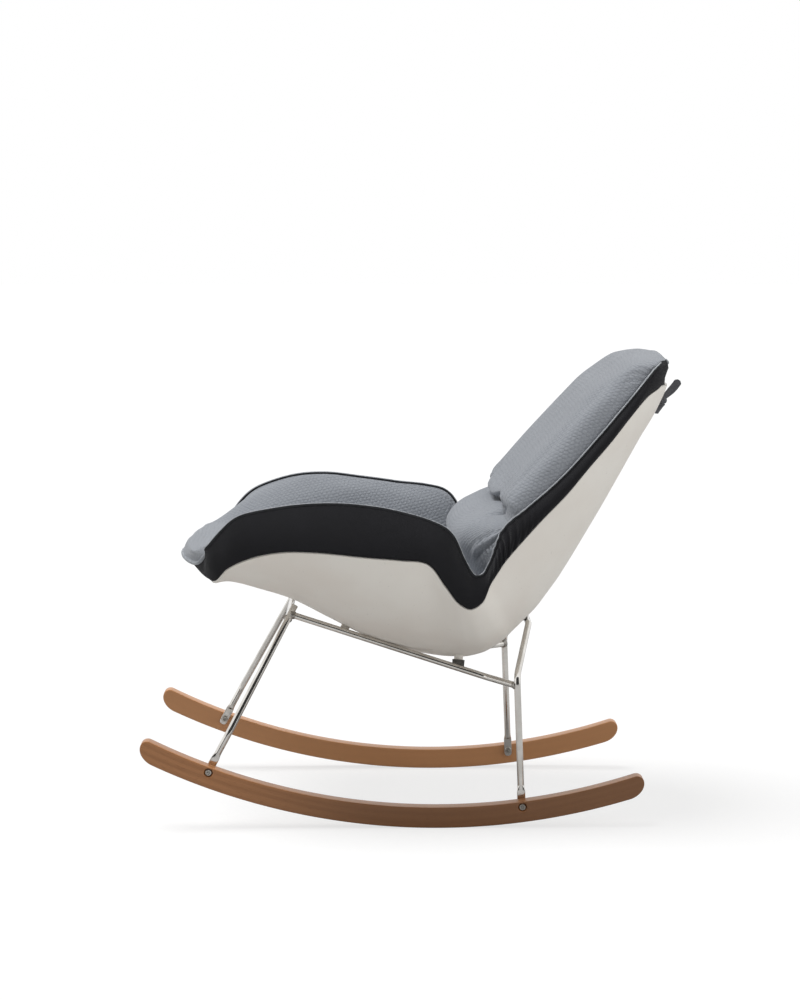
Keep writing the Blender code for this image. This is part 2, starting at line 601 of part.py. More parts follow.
    # Side rail from the front leg to the rear leg, its ends shaped to the round tubes
    share = (RAIL_FRONT_Z - FRONT_BOLT[1]) / (FRONT_LEG_TOP[2] - FRONT_BOLT[1])
    rail_front = np.array((FRONT_BOLT[0] + share * (FRONT_LEG_TOP[0] - FRONT_BOLT[0]), 0, RAIL_FRONT_Z))
    lean_z = FRONT_BOLT[1] + (PADDLE_LENGTH + 2 * PADDLE_HALF_WIDTH + BEND_RADIUS) * 0.86
    lean = (RAIL_FRONT_Z - lean_z) / (FRONT_LEG_TOP[2] - lean_z)
    rail_front[1] = tube_y + lean * (front_top[1] - tube_y)
    rail_rear = np.array((REAR_BOLT[0] + (REAR_KNEE[0] - REAR_BOLT[0]) * (RAIL_REAR_Z - REAR_BOLT[1])
                          / (REAR_KNEE[1] - REAR_BOLT[1]), tube_y, RAIL_REAR_Z))
    bend = np.array((RAIL_BEND[0], sign * RAIL_BEND[1], RAIL_BEND[2]))
    rail = sweep("side_rail_" + side, rounded([rail_rear, bend, rail_front], BEND_RADIUS), chrome,
                 TUBE_RADIUS, TUBE_RADIUS, side=(0, 0.1, 1))
    carve(rail, legs["clear_front_leg_" + side])
    carve(rail, legs["clear_rear_leg_" + side])
    legs["rail_" + side] = (rail_front, bend)

# Cross tubes that tie the two sides together
share = (FRONT_CROSS_Z - lean_z) / (FRONT_LEG_TOP[2] - lean_z)
cross_x = FRONT_BOLT[0] + (FRONT_CROSS_Z - FRONT_BOLT[1]) / (FRONT_LEG_TOP[2] - FRONT_BOLT[1]) * (
    FRONT_LEG_TOP[0] - FRONT_BOLT[0])
cross_y = tube_y + share * (FRONT_LEG_TOP[1] - tube_y)
cross = rod("front_cross_tube", (cross_x, -cross_y, FRONT_CROSS_Z), (cross_x, cross_y, FRONT_CROSS_Z),
            TUBE_RADIUS, chrome, 12)
carve(cross, legs["clear_front_leg_left"])
carve(cross, legs["clear_front_leg_right"])
half_arch = Vector((0, arch_end[1] - GAP, 0))
middle_arch = Vector((arch[0], 0, arch[2]))
rod("rear_cross_tube", middle_arch - half_arch, middle_arch + half_arch, TUBE_RADIUS, chrome, 12)
for side, sign in (("left", -1), ("right", 1)):
    at = Vector((arch[0], sign * REAR_ARCH_HALF * 0.3, arch[2]))
    hit = shell_tree.find_nearest(at)
    place = frame_at(hit[0], at - hit[0], (0, 1, 0))
    height = (at - hit[0]).length - TUBE_RADIUS - GAP
    pad = lathe("bumper_" + side, [(0, -0.002), (BUMPER_RADIUS, -0.002), (BUMPER_RADIUS, height + 0.002),
                                   (0, height + 0.002)], place, rubber, 16)
    carve(pad, clearance)
    carve(pad, rod("groove_" + side, at - Vector((0, 0.03, 0)), at + Vector((0, 0.03, 0)),
                   TUBE_RADIUS + GAP, chrome))

# Seat mounts on the side rails
for side, sign in (("left", -1), ("right", 1)):
    rail_front, bend = legs["rail_" + side]
    for place, tab_x in (("front", TAB_X[0]), ("rear", TAB_X[1])):
        rail_at = bend + (rail_front - bend) * (tab_x - bend[0]) / (rail_front[0] - bend[0])
        rail_dir = Vector(rail_front - bend).normalized()
        over_y = rail_at[1] - sign * (BOSS_RADIUS + TUBE_RADIUS + 0.003)
        hit = shell_tree.ray_cast(Vector((tab_x, over_y, 0)), Vector((0, 0, 1)))
        down = frame_at(hit[0], hit[1], rail_dir)
        name = place + "_" + side
        pilot = SCREW_SHANK + GAP
        boss = lathe("boss_" + name, [
            (0, -0.003), (BOSS_RADIUS, -0.003), (BOSS_RADIUS, BOSS_HEIGHT),
            (pilot, BOSS_HEIGHT), (pilot, 0.0015), (0, 0.0015)], down, plastic)
        carve(boss, clearance)
        turn = 1 if (down @ Vector((0, 1, 0)) - down.translation).y * sign > 0 else -1
        local = down.inverted() @ Vector(rail_at)
        far = abs(local.y)
        low = local.z
        high = BOSS_HEIGHT + GAP
        section = [(-turn * TAB_FLANGE * 0.36, high), (turn * (far + TAB_THICKNESS / 2), high),
                   (turn * (far + TAB_THICKNESS / 2), max(low, high + TAB_THICKNESS * 2)),
                   (turn * (far - TAB_THICKNESS / 2), max(low, high + TAB_THICKNESS * 2)),
                   (turn * (far - TAB_THICKNESS / 2), high + TAB_THICKNESS),
                   (-turn * TAB_FLANGE * 0.36, high + TAB_THICKNESS)]
        lay = down @ Matrix(((0, 0, 1, -TAB_LENGTH / 2), (1, 0, 0, 0), (0, 1, 0, 0), (0, 0, 0, 1)))
        tab = prism("seat_tab_" + name, section, TAB_LENGTH, lay, chrome)
        reach = rail_dir * 0.04
        carve(tab, rod("rail_clear_" + name, Vector(rail_at) - reach, Vector(rail_at) + reach,
                       TUBE_RADIUS + GAP, chrome))
        carve(tab, rod("hole_" + name, down @ Vector((0, 0, 0.003)), down @ Vector((0, 0, 0.03)),
                       SCREW_SHANK + 2 * GAP, steel, 16))
        under_z = high + TAB_THICKNESS + GAP
        end_z = under_z + SCREW_HEAD_HEIGHT
        screw = lathe("seat_screw_" + name, [
            (0, 0.002), (SCREW_SHANK, 0.002), (SCREW_SHANK, under_z), (SCREW_HEAD, under_z),
            (SCREW_HEAD, under_z + SCREW_HEAD_HEIGHT * 0.6), (SCREW_HEAD * 0.7, end_z), (0, end_z)],
            down, steel, 16)
        carve(screw, rod("drive_" + name, down @ Vector((0, 0, under_z + SCREW_HEAD_HEIGHT * 0.5)),
                         down @ Vector((0, 0, end_z + 0.002)), SCREW_HEAD * 0.45, steel, 6))

# Tie: a strap through a slot near the top of the shell, knotted behind it
top_hit = shell_tree.ray_cast(Vector((0.6, 0, STATIONS[STATION_OF["top"], 1] - 0.030)), Vector((-1, 0, 0)))
behind = frame_at(top_hit[0], top_hit[1], (0, 1, 0))
slot_half = TIE_WIDTH / 2 + 0.002
slot = prism("slot", [(-slot_half, -0.003), (slot_half, -0.003), (slot_half, 0.003), (-slot_half, 0.003)],
             0.03, behind @ Matrix.Translation((0, 0, -0.015)), plastic)
carve(shell, slot)
strap_from = -SHELL_THICKNESS
strap_to = 0.004
half_w, half_t = TIE_WIDTH / 2, TIE_THICKNESS
prism("tie_strap", [(-half_w, -half_t), (half_w, -half_t), (half_w, half_t), (-half_w, half_t)],
      strap_to - strap_from, behind @ Matrix.Translation((0, 0, strap_from)), ribbon)
angles = np.radians(np.linspace(0, 180, 9))
heights = strap_to + GAP + KNOT_RADIUS * 0.75 * (1 - np.cos(angles))
radii = [0, *KNOT_RADIUS * np.sin(angles[1:-1]), 0]
knot = list(zip(radii, heights))
lathe("tie_knot", knot, behind, ribbon, 14)
knot_mid = behind @ Vector((0, 0, strap_to + GAP + KNOT_RADIUS * 0.75))
for name, steer, length in (
    ("tie_tail_short", (-0.48, 0, -0.87), TIE_TAILS[0]),
    ("tie_tail_long", (0.58, 0, 0.80), TIE_TAILS[1]),
):
    steer = Vector(steer).normalized()
    path = [knot_mid + steer * (KNOT_RADIUS * 1.02 + t * length) for t in np.linspace(0, 1, 4)]
    sweep(name, path, ribbon, TIE_WIDTH / 2 * 0.8, TIE_THICKNESS, side=(0, 1, 0), sides=8)

# Stand the chair with the middle of its box over the origin
pieces = [o for o in bpy.context.scene.objects if not o.hide_render]
corners = np.array([v.co[0] for o in pieces for v in o.data.vertices])
shift = Matrix.Translation((-(corners.min() + corners.max()) / 2, 0, 0))
for piece in list(bpy.data.objects):
    piece.data.transform(shift)
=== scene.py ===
"""Looks of an upholstered rocking chair: bucket shell, tied cushion, bent tube frame and wooden rockers."""

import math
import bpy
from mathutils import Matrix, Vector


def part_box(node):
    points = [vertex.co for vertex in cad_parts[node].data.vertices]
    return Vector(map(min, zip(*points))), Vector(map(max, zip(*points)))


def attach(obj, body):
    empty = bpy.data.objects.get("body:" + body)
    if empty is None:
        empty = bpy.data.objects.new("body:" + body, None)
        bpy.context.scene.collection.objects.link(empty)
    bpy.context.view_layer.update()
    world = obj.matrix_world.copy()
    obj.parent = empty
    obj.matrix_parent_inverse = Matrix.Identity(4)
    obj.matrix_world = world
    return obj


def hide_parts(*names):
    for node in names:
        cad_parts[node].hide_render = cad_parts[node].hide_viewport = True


bl_info = {
    "name": "Upholstered Rocking Chair",
    "version": (1, 0, 0),
    "blender": (4, 5, 0),
    "location": "View3D > Sidebar > Rocking Chair",
    "description": "Builds the shell, cushion, frame, rockers and tie of a padded rocking chair",
    "category": "Object",
}

import bmesh
import bpy
import numpy as np
from bpy.props import FloatProperty, FloatVectorProperty, IntProperty, PointerProperty
from mathutils import Matrix, Vector

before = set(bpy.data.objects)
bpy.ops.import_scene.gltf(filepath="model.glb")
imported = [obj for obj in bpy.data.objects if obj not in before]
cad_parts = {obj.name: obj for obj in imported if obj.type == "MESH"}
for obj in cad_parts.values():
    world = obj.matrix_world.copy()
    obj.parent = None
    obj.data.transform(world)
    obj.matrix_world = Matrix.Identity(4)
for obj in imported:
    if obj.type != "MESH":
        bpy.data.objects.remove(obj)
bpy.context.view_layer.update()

# Lengths below are in metres, with x = 0 where the rockers touch the floor; SHIFT moves that to the frame
SHIFT = np.array((0.0376, 0.0, 0.0))
SIDES = (("left", -1), ("right", 1))

# Stations from the front lip over the seat to the top of the back:
# shell centre x, z; rim x, z, half width; crest x, z, half width; cushion face centre x, z
STATIONS = np.array((
    (-0.436, 0.431, -0.414, 0.459, 0.243, -0.408, 0.496, 0.266, -0.4666, 0.466),
    (-0.410, 0.426, -0.395, 0.4428, 0.272, -0.401, 0.507, 0.284, -0.4618, 0.4785),
    (-0.370, 0.421, -0.367, 0.4705, 0.305, -0.3775, 0.535, 0.295, -0.4508, 0.4890),
    (-0.318, 0.404, -0.327, 0.491, 0.328, -0.347, 0.560, 0.300, -0.4110, 0.4838),
    (-0.262, 0.384, -0.275, 0.503, 0.340, -0.282, 0.575, 0.302, -0.345, 0.480),
    (-0.195, 0.348, -0.210, 0.503, 0.345, -0.215, 0.582, 0.303, -0.255, 0.455),
    (-0.120, 0.309, -0.130, 0.495, 0.345, -0.140, 0.580, 0.303, -0.168, 0.428),
    (-0.055, 0.286, -0.065, 0.489, 0.340, -0.072, 0.569, 0.302, -0.086, 0.405),
    (0.000, 0.275, -0.020, 0.482, 0.332, -0.014, 0.552, 0.300, -0.024, 0.389),
    (0.038, 0.273, 0.012, 0.440, 0.320, 0.024, 0.527, 0.297, 0.020, 0.384),
    (0.068, 0.276, 0.037, 0.408, 0.311, 0.045, 0.482, 0.293, 0.043, 0.384),
    (0.095, 0.285, 0.0568, 0.3985, 0.306, 0.061, 0.456, 0.290, 0.064, 0.388),
    (0.122, 0.302, 0.0765, 0.409, 0.303, 0.078, 0.455, 0.288, 0.086, 0.397),
    (0.150, 0.327, 0.093, 0.444, 0.300, 0.092, 0.474, 0.286, 0.102, 0.412),
    (0.1685, 0.345, 0.104, 0.461, 0.2985, 0.100, 0.493, 0.285, 0.0570, 0.4525),
    (0.188, 0.365, 0.115, 0.478, 0.297, 0.106, 0.512, 0.284, 0.0255, 0.5025),
    (0.206, 0.389, 0.130, 0.4965, 0.2955, 0.114, 0.532, 0.283, 0.044, 0.541),
    (0.224, 0.414, 0.146, 0.5145, 0.294, 0.127, 0.547, 0.282, 0.112, 0.567),
    (0.249, 0.454, 0.1824, 0.5544, 0.290, 0.1595, 0.5740, 0.280, 0.1208, 0.5977),
    (0.279, 0.506, 0.2253, 0.5981, 0.285, 0.2025, 0.6100, 0.276, 0.1540, 0.6307),
    (0.3105, 0.561, 0.2641, 0.6437, 0.277, 0.2422, 0.6488, 0.270, 0.2080, 0.6912),
    (0.343, 0.621, 0.3038, 0.6881, 0.265, 0.2840, 0.6950, 0.260, 0.2583, 0.7488),
    (0.3755, 0.680, 0.3421, 0.7337, 0.245, 0.3255, 0.7415, 0.243, 0.3008, 0.7915),
    (0.406, 0.732, 0.374, 0.766, 0.215, 0.3625, 0.7835, 0.220, 0.3428, 0.8262),
    (0.425, 0.780, 0.4005, 0.7825, 0.180, 0.3875, 0.812, 0.189, 0.3782, 0.8385),
    (0.423, 0.817, 0.4175, 0.812, 0.142, 0.4130, 0.828, 0.142, 0.4105, 0.8365),
))
# Where the right arm's edge lies off the left one's: station, x, z
FAR_ARM = np.array((
    (0, 0.004, -0.010), (1, 0.006, -0.014), (2, 0.003, -0.012), (3, 0.001, -0.011), (4, 0, -0.003),
    (5, 0, -0.003), (6, 0, -0.0085), (7, 0.001, -0.007), (8, 0.002, 0.004),
    (9, 0.008, 0.015), (10, 0.008, 0.031), (11, 0.004, 0.020), (12, 0, 0.006), (13, 0, 0), (25, 0, 0)))
# Station numbers of the cushion's folds and last row, of the shell's ends and of the notch
LUMBAR_FOLD = 13
BACK_FOLD = 17
LAST_STATION = 25
SHELL_FROM = 1
SHELL_TO = 24
NOTCH = 12.6
# Where the face changes its form: a station and the number of stations that it takes
FRONT_ROLL = (3, -3)
SEAT_TO_LUMBAR = (9, 4)
LUMBAR_TO_BACK = (16.9, 0.9)
TOP_ROLL = (23, 2)
# Columns of the cushion, counted from its centre line: the arms' seams, the shell's rim and the crest
SEAM = 5
RIM = 7
CREST = 10
# Share of the half width and of the depth at each column of the face
FACE_ACROSS = np.array((0, 0.20, 0.38, 0.54, 0.66, 0.74, 0.80, 0.865, 0.925, 0.972, 1))
FACE_ACROSS_ENDS = np.array((0, 0.23, 0.43, 0.59, 0.70, 0.79, 0.86, 0.915, 0.95, 0.98, 1))
FACE_DEPTH_SEAT = np.array((1, 1, 0.99, 0.97, 0.98, 0.95, 0.72, 0.42, 0.17, 0.04, 0))
FACE_DEPTH_LUMBAR = np.array((1, 1, 0.97, 0.92, 0.86, 0.80, 0.70, 0.54, 0.34, 0.12, 0))
FACE_ACROSS_BACK = np.array((0, 0.20, 0.38, 0.54, 0.68, 0.79, 0.875, 0.935, 0.975, 0.995, 1))
FACE_DEPTH_BACK = np.array((1, 1, 1, 0.995, 0.985, 0.965, 0.925, 0.85, 0.70, 0.44, 0))
# Powers of the arcs that the front and top edges follow
FRONT_ARC_X = 1.8
FRONT_ARC_Z = 9
TOP_ARC = 2
# The shell's section and the cushion's band: how full, how far out, and the share over which it comes out
SECTION_FULLNESS = 0.74
BAND_BULGE = 0.010
BAND_PROUD = 0.0015
BAND_OVER = 0.06

# Rockers with their bolts, then the tubes: sizes, and places as (x, z) or (x, y, z)
ROCKER_RADIUS = 1.184
ROCKER_HEIGHT = 0.037
ROCKER_WIDTH = 0.030
ROCKER_OUTER_Y = 0.265
ROCKER_FRONT = math.radians(26.1)
ROCKER_REAR = math.radians(17.6)
END_LOW = 0.034
END_HIGH = 0.013
END_RISE = 0.35
BOLT_RISE = 0.0268
BOLT_X = {"front": -0.407, "rear": 0.152}
COUNTERBORE = 0.0078
COUNTERBORE_DEPTH = 0.008
TUBE = 0.006
GAP = 0.0003
PADDLE_THICKNESS = 0.005
PADDLE_HALF_WIDTH = 0.0074
PADDLE_NOSE = 0.0115
PADDLE_FLAT = 0.020
FOOT_LENGTH = 0.048
BEND = 0.026
FRONT_LEG_TOP = np.array((-0.256, 0.131, 0.381))
REAR_KNEE = (0.143, 0.268)
REAR_ARCH_HALF = 0.060
RAIL_REAR_Z = 0.250
RAIL_BEND = np.array((0.090, 0.161, 0.2545))
RAIL_FRONT_Z = 0.366
FRONT_CROSS_Z = 0.358
INNER_Y = ROCKER_OUTER_Y - ROCKER_WIDTH
TUBE_Y = INNER_Y - 2 * GAP - TUBE
PADDLE_Y = INNER_Y - GAP - PADDLE_THICKNESS / 2
REAR_CROSS_HALF = REAR_ARCH_HALF * 0.55


# Curves and surfaces

def smooth(share):
    """Ease from 0 to 1: 3s^2 - 2s^3 of the share held between 0 and 1."""
    share = np.clip(share, 0, 1)
    return share * share * (3 - 2 * share)


def ramp(value, start, span):
    """Eased rise from 0 at start to 1 a span later, or a fall towards start where the span is negative."""
    return smooth((value - start) / span)


def bell(value, middle, width):
    """Bell curve: e to the power of minus the squared distance from the middle, counted in widths."""
    return np.exp(-((value - middle) / width) ** 2)


def wave(run, pitch, shift=0.0):
    """Sine with one turn for each pitch of the run, moved on by shift."""
    return np.sin(run * 2 * math.pi / pitch + shift)


def towards(first, second, share):
    """Part of the way from first to second: first + share (second - first)."""
    return first + share * (second - first)


def nearest(values, wanted):
    """Index of the value closest to the wanted one."""
    return int(np.argmin(np.abs(values - wanted)))


def unit(vectors):
    """Each vector divided by its own length."""
    return vectors / np.maximum(np.linalg.norm(vectors, axis=-1, keepdims=True), 1e-12)


def spline(knots, values, at):
    """Cubic Hermite curve through values at knots, with slopes from central differences."""
    knots = np.asarray(knots, float)
    values = np.asarray(values, float).reshape(len(knots), -1)
    slopes = np.gradient(values, knots, axis=0)
    at = np.asarray(at, float)
    first = np.clip(np.searchsorted(knots, at, side="right") - 1, 0, len(knots) - 2)
    span = (knots[first + 1] - knots[first])[:, None]
    t = (at[:, None] - knots[first][:, None]) / span
    start = values[first] * (2 * t ** 3 - 3 * t ** 2 + 1) + slopes[first] * span * (t ** 3 - 2 * t ** 2 + t)
    end = values[first + 1] * (3 * t ** 2 - 2 * t ** 3) + slopes[first + 1] * span * (t ** 3 - t ** 2)
    return start + end


STATION_NUMBERS = np.arange(len(STATIONS))
KNOT_SPACE = 0.01
RIM_STEPS = np.linalg.norm(np.diff(STATIONS[:, 2:4], axis=0), axis=1)
STATION_KNOTS = np.concatenate(([0], np.cumsum(RIM_STEPS + KNOT_SPACE)))


def rows_at(station):
    """The station table at any station number: a smooth curve, but the face breaks at its folds."""
    at = np.interp(station, STATION_NUMBERS, STATION_KNOTS)
    rows = spline(STATION_KNOTS, STATIONS, at)
    for first, last in ((0, LUMBAR_FOLD), (LUMBAR_FOLD, BACK_FOLD), (BACK_FOLD, LAST_STATION)):
        chosen = (station >= first) & (station <= last)
        part = slice(first, last + 1)
        rows[chosen, 8:] = spline(STATION_KNOTS[part], STATIONS[part, 8:], at[chosen])
    return rows


def columns_at(station):
    """The ten columns of the station table at any station number, each upright."""
    return rows_at(station).T[..., None]


def pack_xyz(x, y, z):
    """Three arrays as points, moved into the frame."""
    return np.stack(np.broadcast_arrays(x, y, z), -1) + SHIFT


def far_arm(station):
    """How far the right arm's edge lies from the left one's in x and z, eased between listed stations."""
    return spline(FAR_ARM[:, 0], FAR_ARM[:, 1:], station)


def face_points(station, column, crest_width):
    """Cushion face: from crest to face centre by a depth curve; front and top edges are arcs, 1 - a^p."""
    crest_x, crest_z, crest_y, face_x, face_z = columns_at(station)[5:]
    number = station[:, None]
    front = ramp(number, *FRONT_ROLL)
    top = ramp(number, *TOP_ROLL)
    lumbar = np.maximum(ramp(number, *SEAT_TO_LUMBAR), front)
    back = ramp(number, *LUMBAR_TO_BACK)

    def read(curve):
        """A curve of shares at the columns, the same on both sides."""
        return spline(np.arange(CREST + 1), curve, np.abs(column))[:, 0]

    across = towards(read(FACE_ACROSS), read(FACE_ACROSS_BACK), back)
    across = towards(across, read(FACE_ACROSS_ENDS), np.maximum(front, top))
    depth = towards(read(FACE_DEPTH_SEAT), read(FACE_DEPTH_LUMBAR), lumbar)
    depth = towards(depth, read(FACE_DEPTH_BACK), back)
    depth = towards(depth, 1 - across ** TOP_ARC, top)
    depth_x = towards(depth, 1 - across ** FRONT_ARC_X, front)
    depth_z = towards(depth, 1 - across ** FRONT_ARC_Z, front)
    far = far_arm(station)[:, None] * ((1 - depth) * (column > 0))[..., None]
    x = towards(crest_x, face_x, depth_x) + far[..., 0]
    z = towards(crest_z, face_z, depth_z) + far[..., 1]
    return pack_xyz(x, (crest_y - crest_width) * across * np.sign(column), z)


def section_points(station, reach):
    """Shell section: a parabola from the centre line to the rim, (x, z) by s^2 and y by a fuller curve."""
    shell_x, shell_z, rim_x, rim_z, rim_y = columns_at(station)[:5]
    s = np.abs(reach)
    y = rim_y * (2 * SECTION_FULLNESS * s * (1 - s) + s ** 2) * np.sign(reach)
    return pack_xyz(towards(shell_x, rim_x, s ** 2), y, towards(shell_z, rim_z, s ** 2))


def band_share(column):
    """Share of the way up the band: 0 at the rim, 1 at the crest."""
    return np.clip((np.abs(column) - RIM) / (CREST - RIM), 0, 1)


def skin_points(station, column, inset):
    """Hidden side of the cushion: the shell section drawn in by inset, then the band from rim to crest."""
    rim_x, rim_z, rim_y, crest_x, crest_z, crest_y = columns_at(station)[2:8]
    lining = section_points(station, np.clip(column / RIM, -1, 1))
    lining = lining + grid_normals(lining) * inset
    t = band_share(column)
    far = far_arm(station)[:, None] * (t * (column > 0))[:, None]
    x = towards(rim_x, crest_x, t) + far[..., 0]
    z = towards(rim_z, crest_z, t) + far[..., 1]
    over = smooth(t / BAND_OVER)
    low_y = rim_y - inset * (1 - over) + BAND_PROUD * over
    y = towards(low_y, crest_y, t) + BAND_BULGE * 4 * t * (1 - t)
    band = pack_xyz(x, y * np.sign(column), z)
    return np.where((np.abs(column) > RIM)[None, :, None], band, lining)


def grid_normals(points):
    """Unit normals of a grid from its two central differences; the seat's point up and forward."""
    along = np.gradient(points, axis=0)
    across = np.gradient(points, axis=1)
    return unit(np.cross(along, across))


def arc_lengths(points, axis, zero):
    """Distance along a grid's lines of one axis, counted from the line with index zero."""
    steps = np.linalg.norm(np.diff(points, axis=axis), axis=-1)
    total = np.insert(np.cumsum(steps, axis=axis), 0, 0, axis=axis)
    return total - np.take(total, [zero], axis=axis)


def grid_faces(rows, columns, first=0, wrap_columns=False):
    """Quads of a grid of points, counted from first, its last column joined to its first where asked."""
    i = np.arange(rows - 1)[:, None]
    j = np.arange(columns if wrap_columns else columns - 1)[None, :]
    low, high = i * columns, (i + 1) * columns
    left, right = j, (j + 1) % columns
    quads = np.stack(np.broadcast_arrays(low + left, low + right, high + right, high + left), -1)
    return quads.reshape(-1, 4) + first


def outward(points, faces):
    """The faces turned round if the volume that they close comes out negative."""
    corner = points[faces]
    volume = np.einsum("ij,ij->i", corner[:, 0], np.cross(corner[:, 1], corner[:, 2])).sum()
    volume += np.einsum("ij,ij->i", corner[:, 0], np.cross(corner[:, 2], corner[:, 3])).sum()
    return faces if volume > 0 else faces[:, ::-1]


def solid_between(front, back):
    """Closed body between two grids of one shape: both faces and the wall round their edge."""
    rows, columns = front.shape[:2]
    points = np.concatenate((front.reshape(-1, 3), back.reshape(-1, 3)))
    edge = np.arange(rows * columns).reshape(rows, columns)
    loop = np.concatenate((edge[0, :-1], edge[:-1, -1], edge[-1, :0:-1], edge[:0:-1, 0]))
    ahead = np.roll(loop, -1)
    wall = np.stack((ahead, loop, loop + rows * columns, ahead + rows * columns), -1)
    faces = np.concatenate((
        grid_faces(rows, columns),
        grid_faces(rows, columns, rows * columns)[:, ::-1],
        wall))
    return points, outward(points, faces)


def tube_frames(path, side):
    """Two unit vectors square to a path at each of its points, the first carried along from side."""
    along = unit(np.gradient(path, axis=0))
    up = np.empty_like(path)
    carried = np.array(side, float)
    for index, direction in enumerate(along):
        carried = unit(carried - direction * (carried @ direction))
        up[index] = carried
    return np.cross(up, along), up


def tube_points(path, wide, deep, power=2.0, side=(0, 1, 0), sides=28):
    """Superellipse |a|^p + |b|^p = 1 carried along a path; half sizes wide and deep, deep along side."""
    count = len(path)
    wide = np.broadcast_to(wide, count)[:, None]
    deep = np.broadcast_to(deep, count)[:, None]
    power = np.broadcast_to(power, count)[:, None]
    across, up = tube_frames(path, side)
    turn = np.arange(sides) * 2 * math.pi / sides
    a = np.sign(np.cos(turn)) * np.abs(np.cos(turn)) ** (2 / power) * wide
    b = np.sign(np.sin(turn)) * np.abs(np.sin(turn)) ** (2 / power) * deep
    return path[:, None] + across[:, None] * a[..., None] + up[:, None] * b[..., None]


def tube_body(rings):
    """Closed body of a stack of rings, each end closed by drawing its ring in to its middle."""
    first = rings[0].mean(axis=0)
    last = rings[-1].mean(axis=0)
    points = np.concatenate((rings.reshape(-1, 3), first[None], last[None]))
    rows, sides = rings.shape[:2]
    faces = grid_faces(rows, sides, wrap_columns=True)
    j = np.arange(sides)
    k = (j + 1) % sides
    start, end = rows * sides, rows * sides + 1
    low = np.stack((np.full(sides, start), k, j, np.full(sides, start)), -1)
    top = (rows - 1) * sides
    high = np.stack((np.full(sides, end), top + j, top + k, np.full(sides, end)), -1)
    return points, outward(points, np.concatenate((faces, low, high)))


CORNER_SHARE = 0.45


def rounded(points, radius, steps=10):
    """A path whose corners are parabolas that leave it by radius / tan(half angle) or a share of a side."""
    points = [np.array(p, float) for p in points]
    path = [points[0][None]]
    t = np.linspace(0, 1, steps + 1)[:, None]
    for before, corner, after in zip(points, points[1:], points[2:]):
        a, b = before - corner, after - corner
        a_length, b_length = np.linalg.norm(a), np.linalg.norm(b)
        a, b = a / a_length, b / b_length
        half = math.acos(np.clip(a @ b, -1, 1)) / 2
        cut_off = min(radius / math.tan(half), CORNER_SHARE * a_length, CORNER_SHARE * b_length)
        path.append(corner + a * cut_off * (1 - t) ** 2 + b * cut_off * t ** 2)
    path.append(points[-1][None])
    return np.concatenate(path)


def evenly(path, step):
    """The path drawn again with points about step apart."""
    lengths = np.concatenate(([0], np.cumsum(np.linalg.norm(np.diff(path, axis=0), axis=1))))
    at = np.linspace(0, lengths[-1], max(2, round(lengths[-1] / step) + 1))
    return np.stack([np.interp(at, lengths, path[:, k]) for k in range(3)], -1)


def turned(profile, place, sides=40, corners=0, sharp=None):
    """Profile of (radius, height) pairs turned about Z and placed; rows marked sharp follow a polygon."""
    radius, height = np.array(profile, float).T
    angle = np.arange(sides) * 2 * math.pi / sides
    shape = np.ones((len(radius), sides))
    if corners:
        wedge = 2 * math.pi / corners
        polygon = math.cos(wedge / 2) / np.cos((angle % wedge) - wedge / 2)
        shape = np.where(np.array(sharp, bool)[:, None], polygon, shape)
    rim = radius[:, None] * shape
    rings = np.stack(np.broadcast_arrays(rim * np.cos(angle), rim * np.sin(angle), height[:, None]), -1)
    points, faces = tube_body(rings)
    turn = np.array(place.to_3x3())
    return points @ turn.T + np.array(place.translation), faces


def frame_at(origin, axis, along):
    """A placing matrix whose Z is axis and whose X leans towards along."""
    z = Vector(axis).normalized()
    y = z.cross(Vector(along)).normalized()
    x = y.cross(z)
    return Matrix.Translation(Vector(origin)) @ Matrix((x, y, z)).transposed().to_4x4()


# Meshes and pieces

def fill_mesh(name, points, faces, uv=None, merge=None):
    """A mesh from whole arrays; faces whose last corner repeats their first become triangles."""
    mesh = bpy.data.meshes.new(name)
    triangle = faces[:, 3] == faces[:, 0]
    sizes = np.where(triangle, 3, 4)
    keep = np.ones(faces.shape, bool)
    keep[triangle, 3] = False
    corners = faces[keep]
    mesh.vertices.add(len(points))
    mesh.vertices.foreach_set("co", np.ascontiguousarray(points, np.float32).ravel())
    mesh.loops.add(len(corners))
    mesh.loops.foreach_set("vertex_index", np.ascontiguousarray(corners, np.int32))
    mesh.polygons.add(len(faces))
    starts = np.concatenate(([0], np.cumsum(sizes)[:-1]))
    mesh.polygons.foreach_set("loop_start", np.ascontiguousarray(starts, np.int32))
    mesh.polygons.foreach_set("use_smooth", np.ones(len(faces), bool))
    if uv is not None:
        layer = mesh.uv_layers.new(name="cloth")
        layer.data.foreach_set("uv", np.ascontiguousarray(uv[corners], np.float32).ravel())
    mesh.update(calc_edges=True)
    if merge:
        shape = bmesh.new()
        shape.from_mesh(mesh)
        bmesh.ops.remove_doubles(shape, verts=shape.verts, dist=merge)
        bmesh.ops.dissolve_degenerate(shape, edges=shape.edges, dist=merge)
        shape.to_mesh(mesh)
        shape.free()
    mesh.validate()
    return mesh


def piece(name, mesh, materials, nodes=()):
    """An object of the chair: it rides on root, takes a slot's finish and stands for its CAD nodes."""
    made = bpy.data.objects.new(name, mesh)
    bpy.context.scene.collection.objects.link(made)
    for material in materials:
        mesh.materials.append(material)
    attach(made, "root")
    if nodes:
        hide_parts(*nodes)
    return made


def stand_in(node, body, material, merge=None):
    """A piece that stands for one CAD node: a body of points and faces, named after the node."""
    name = node + "_visual"
    return piece(name, fill_mesh(name, *body, merge=merge), [material], [node])


def node_box(node):
    """A CAD node's lowest and highest corners."""
    low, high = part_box(node)
    return np.array(low), np.array(high)


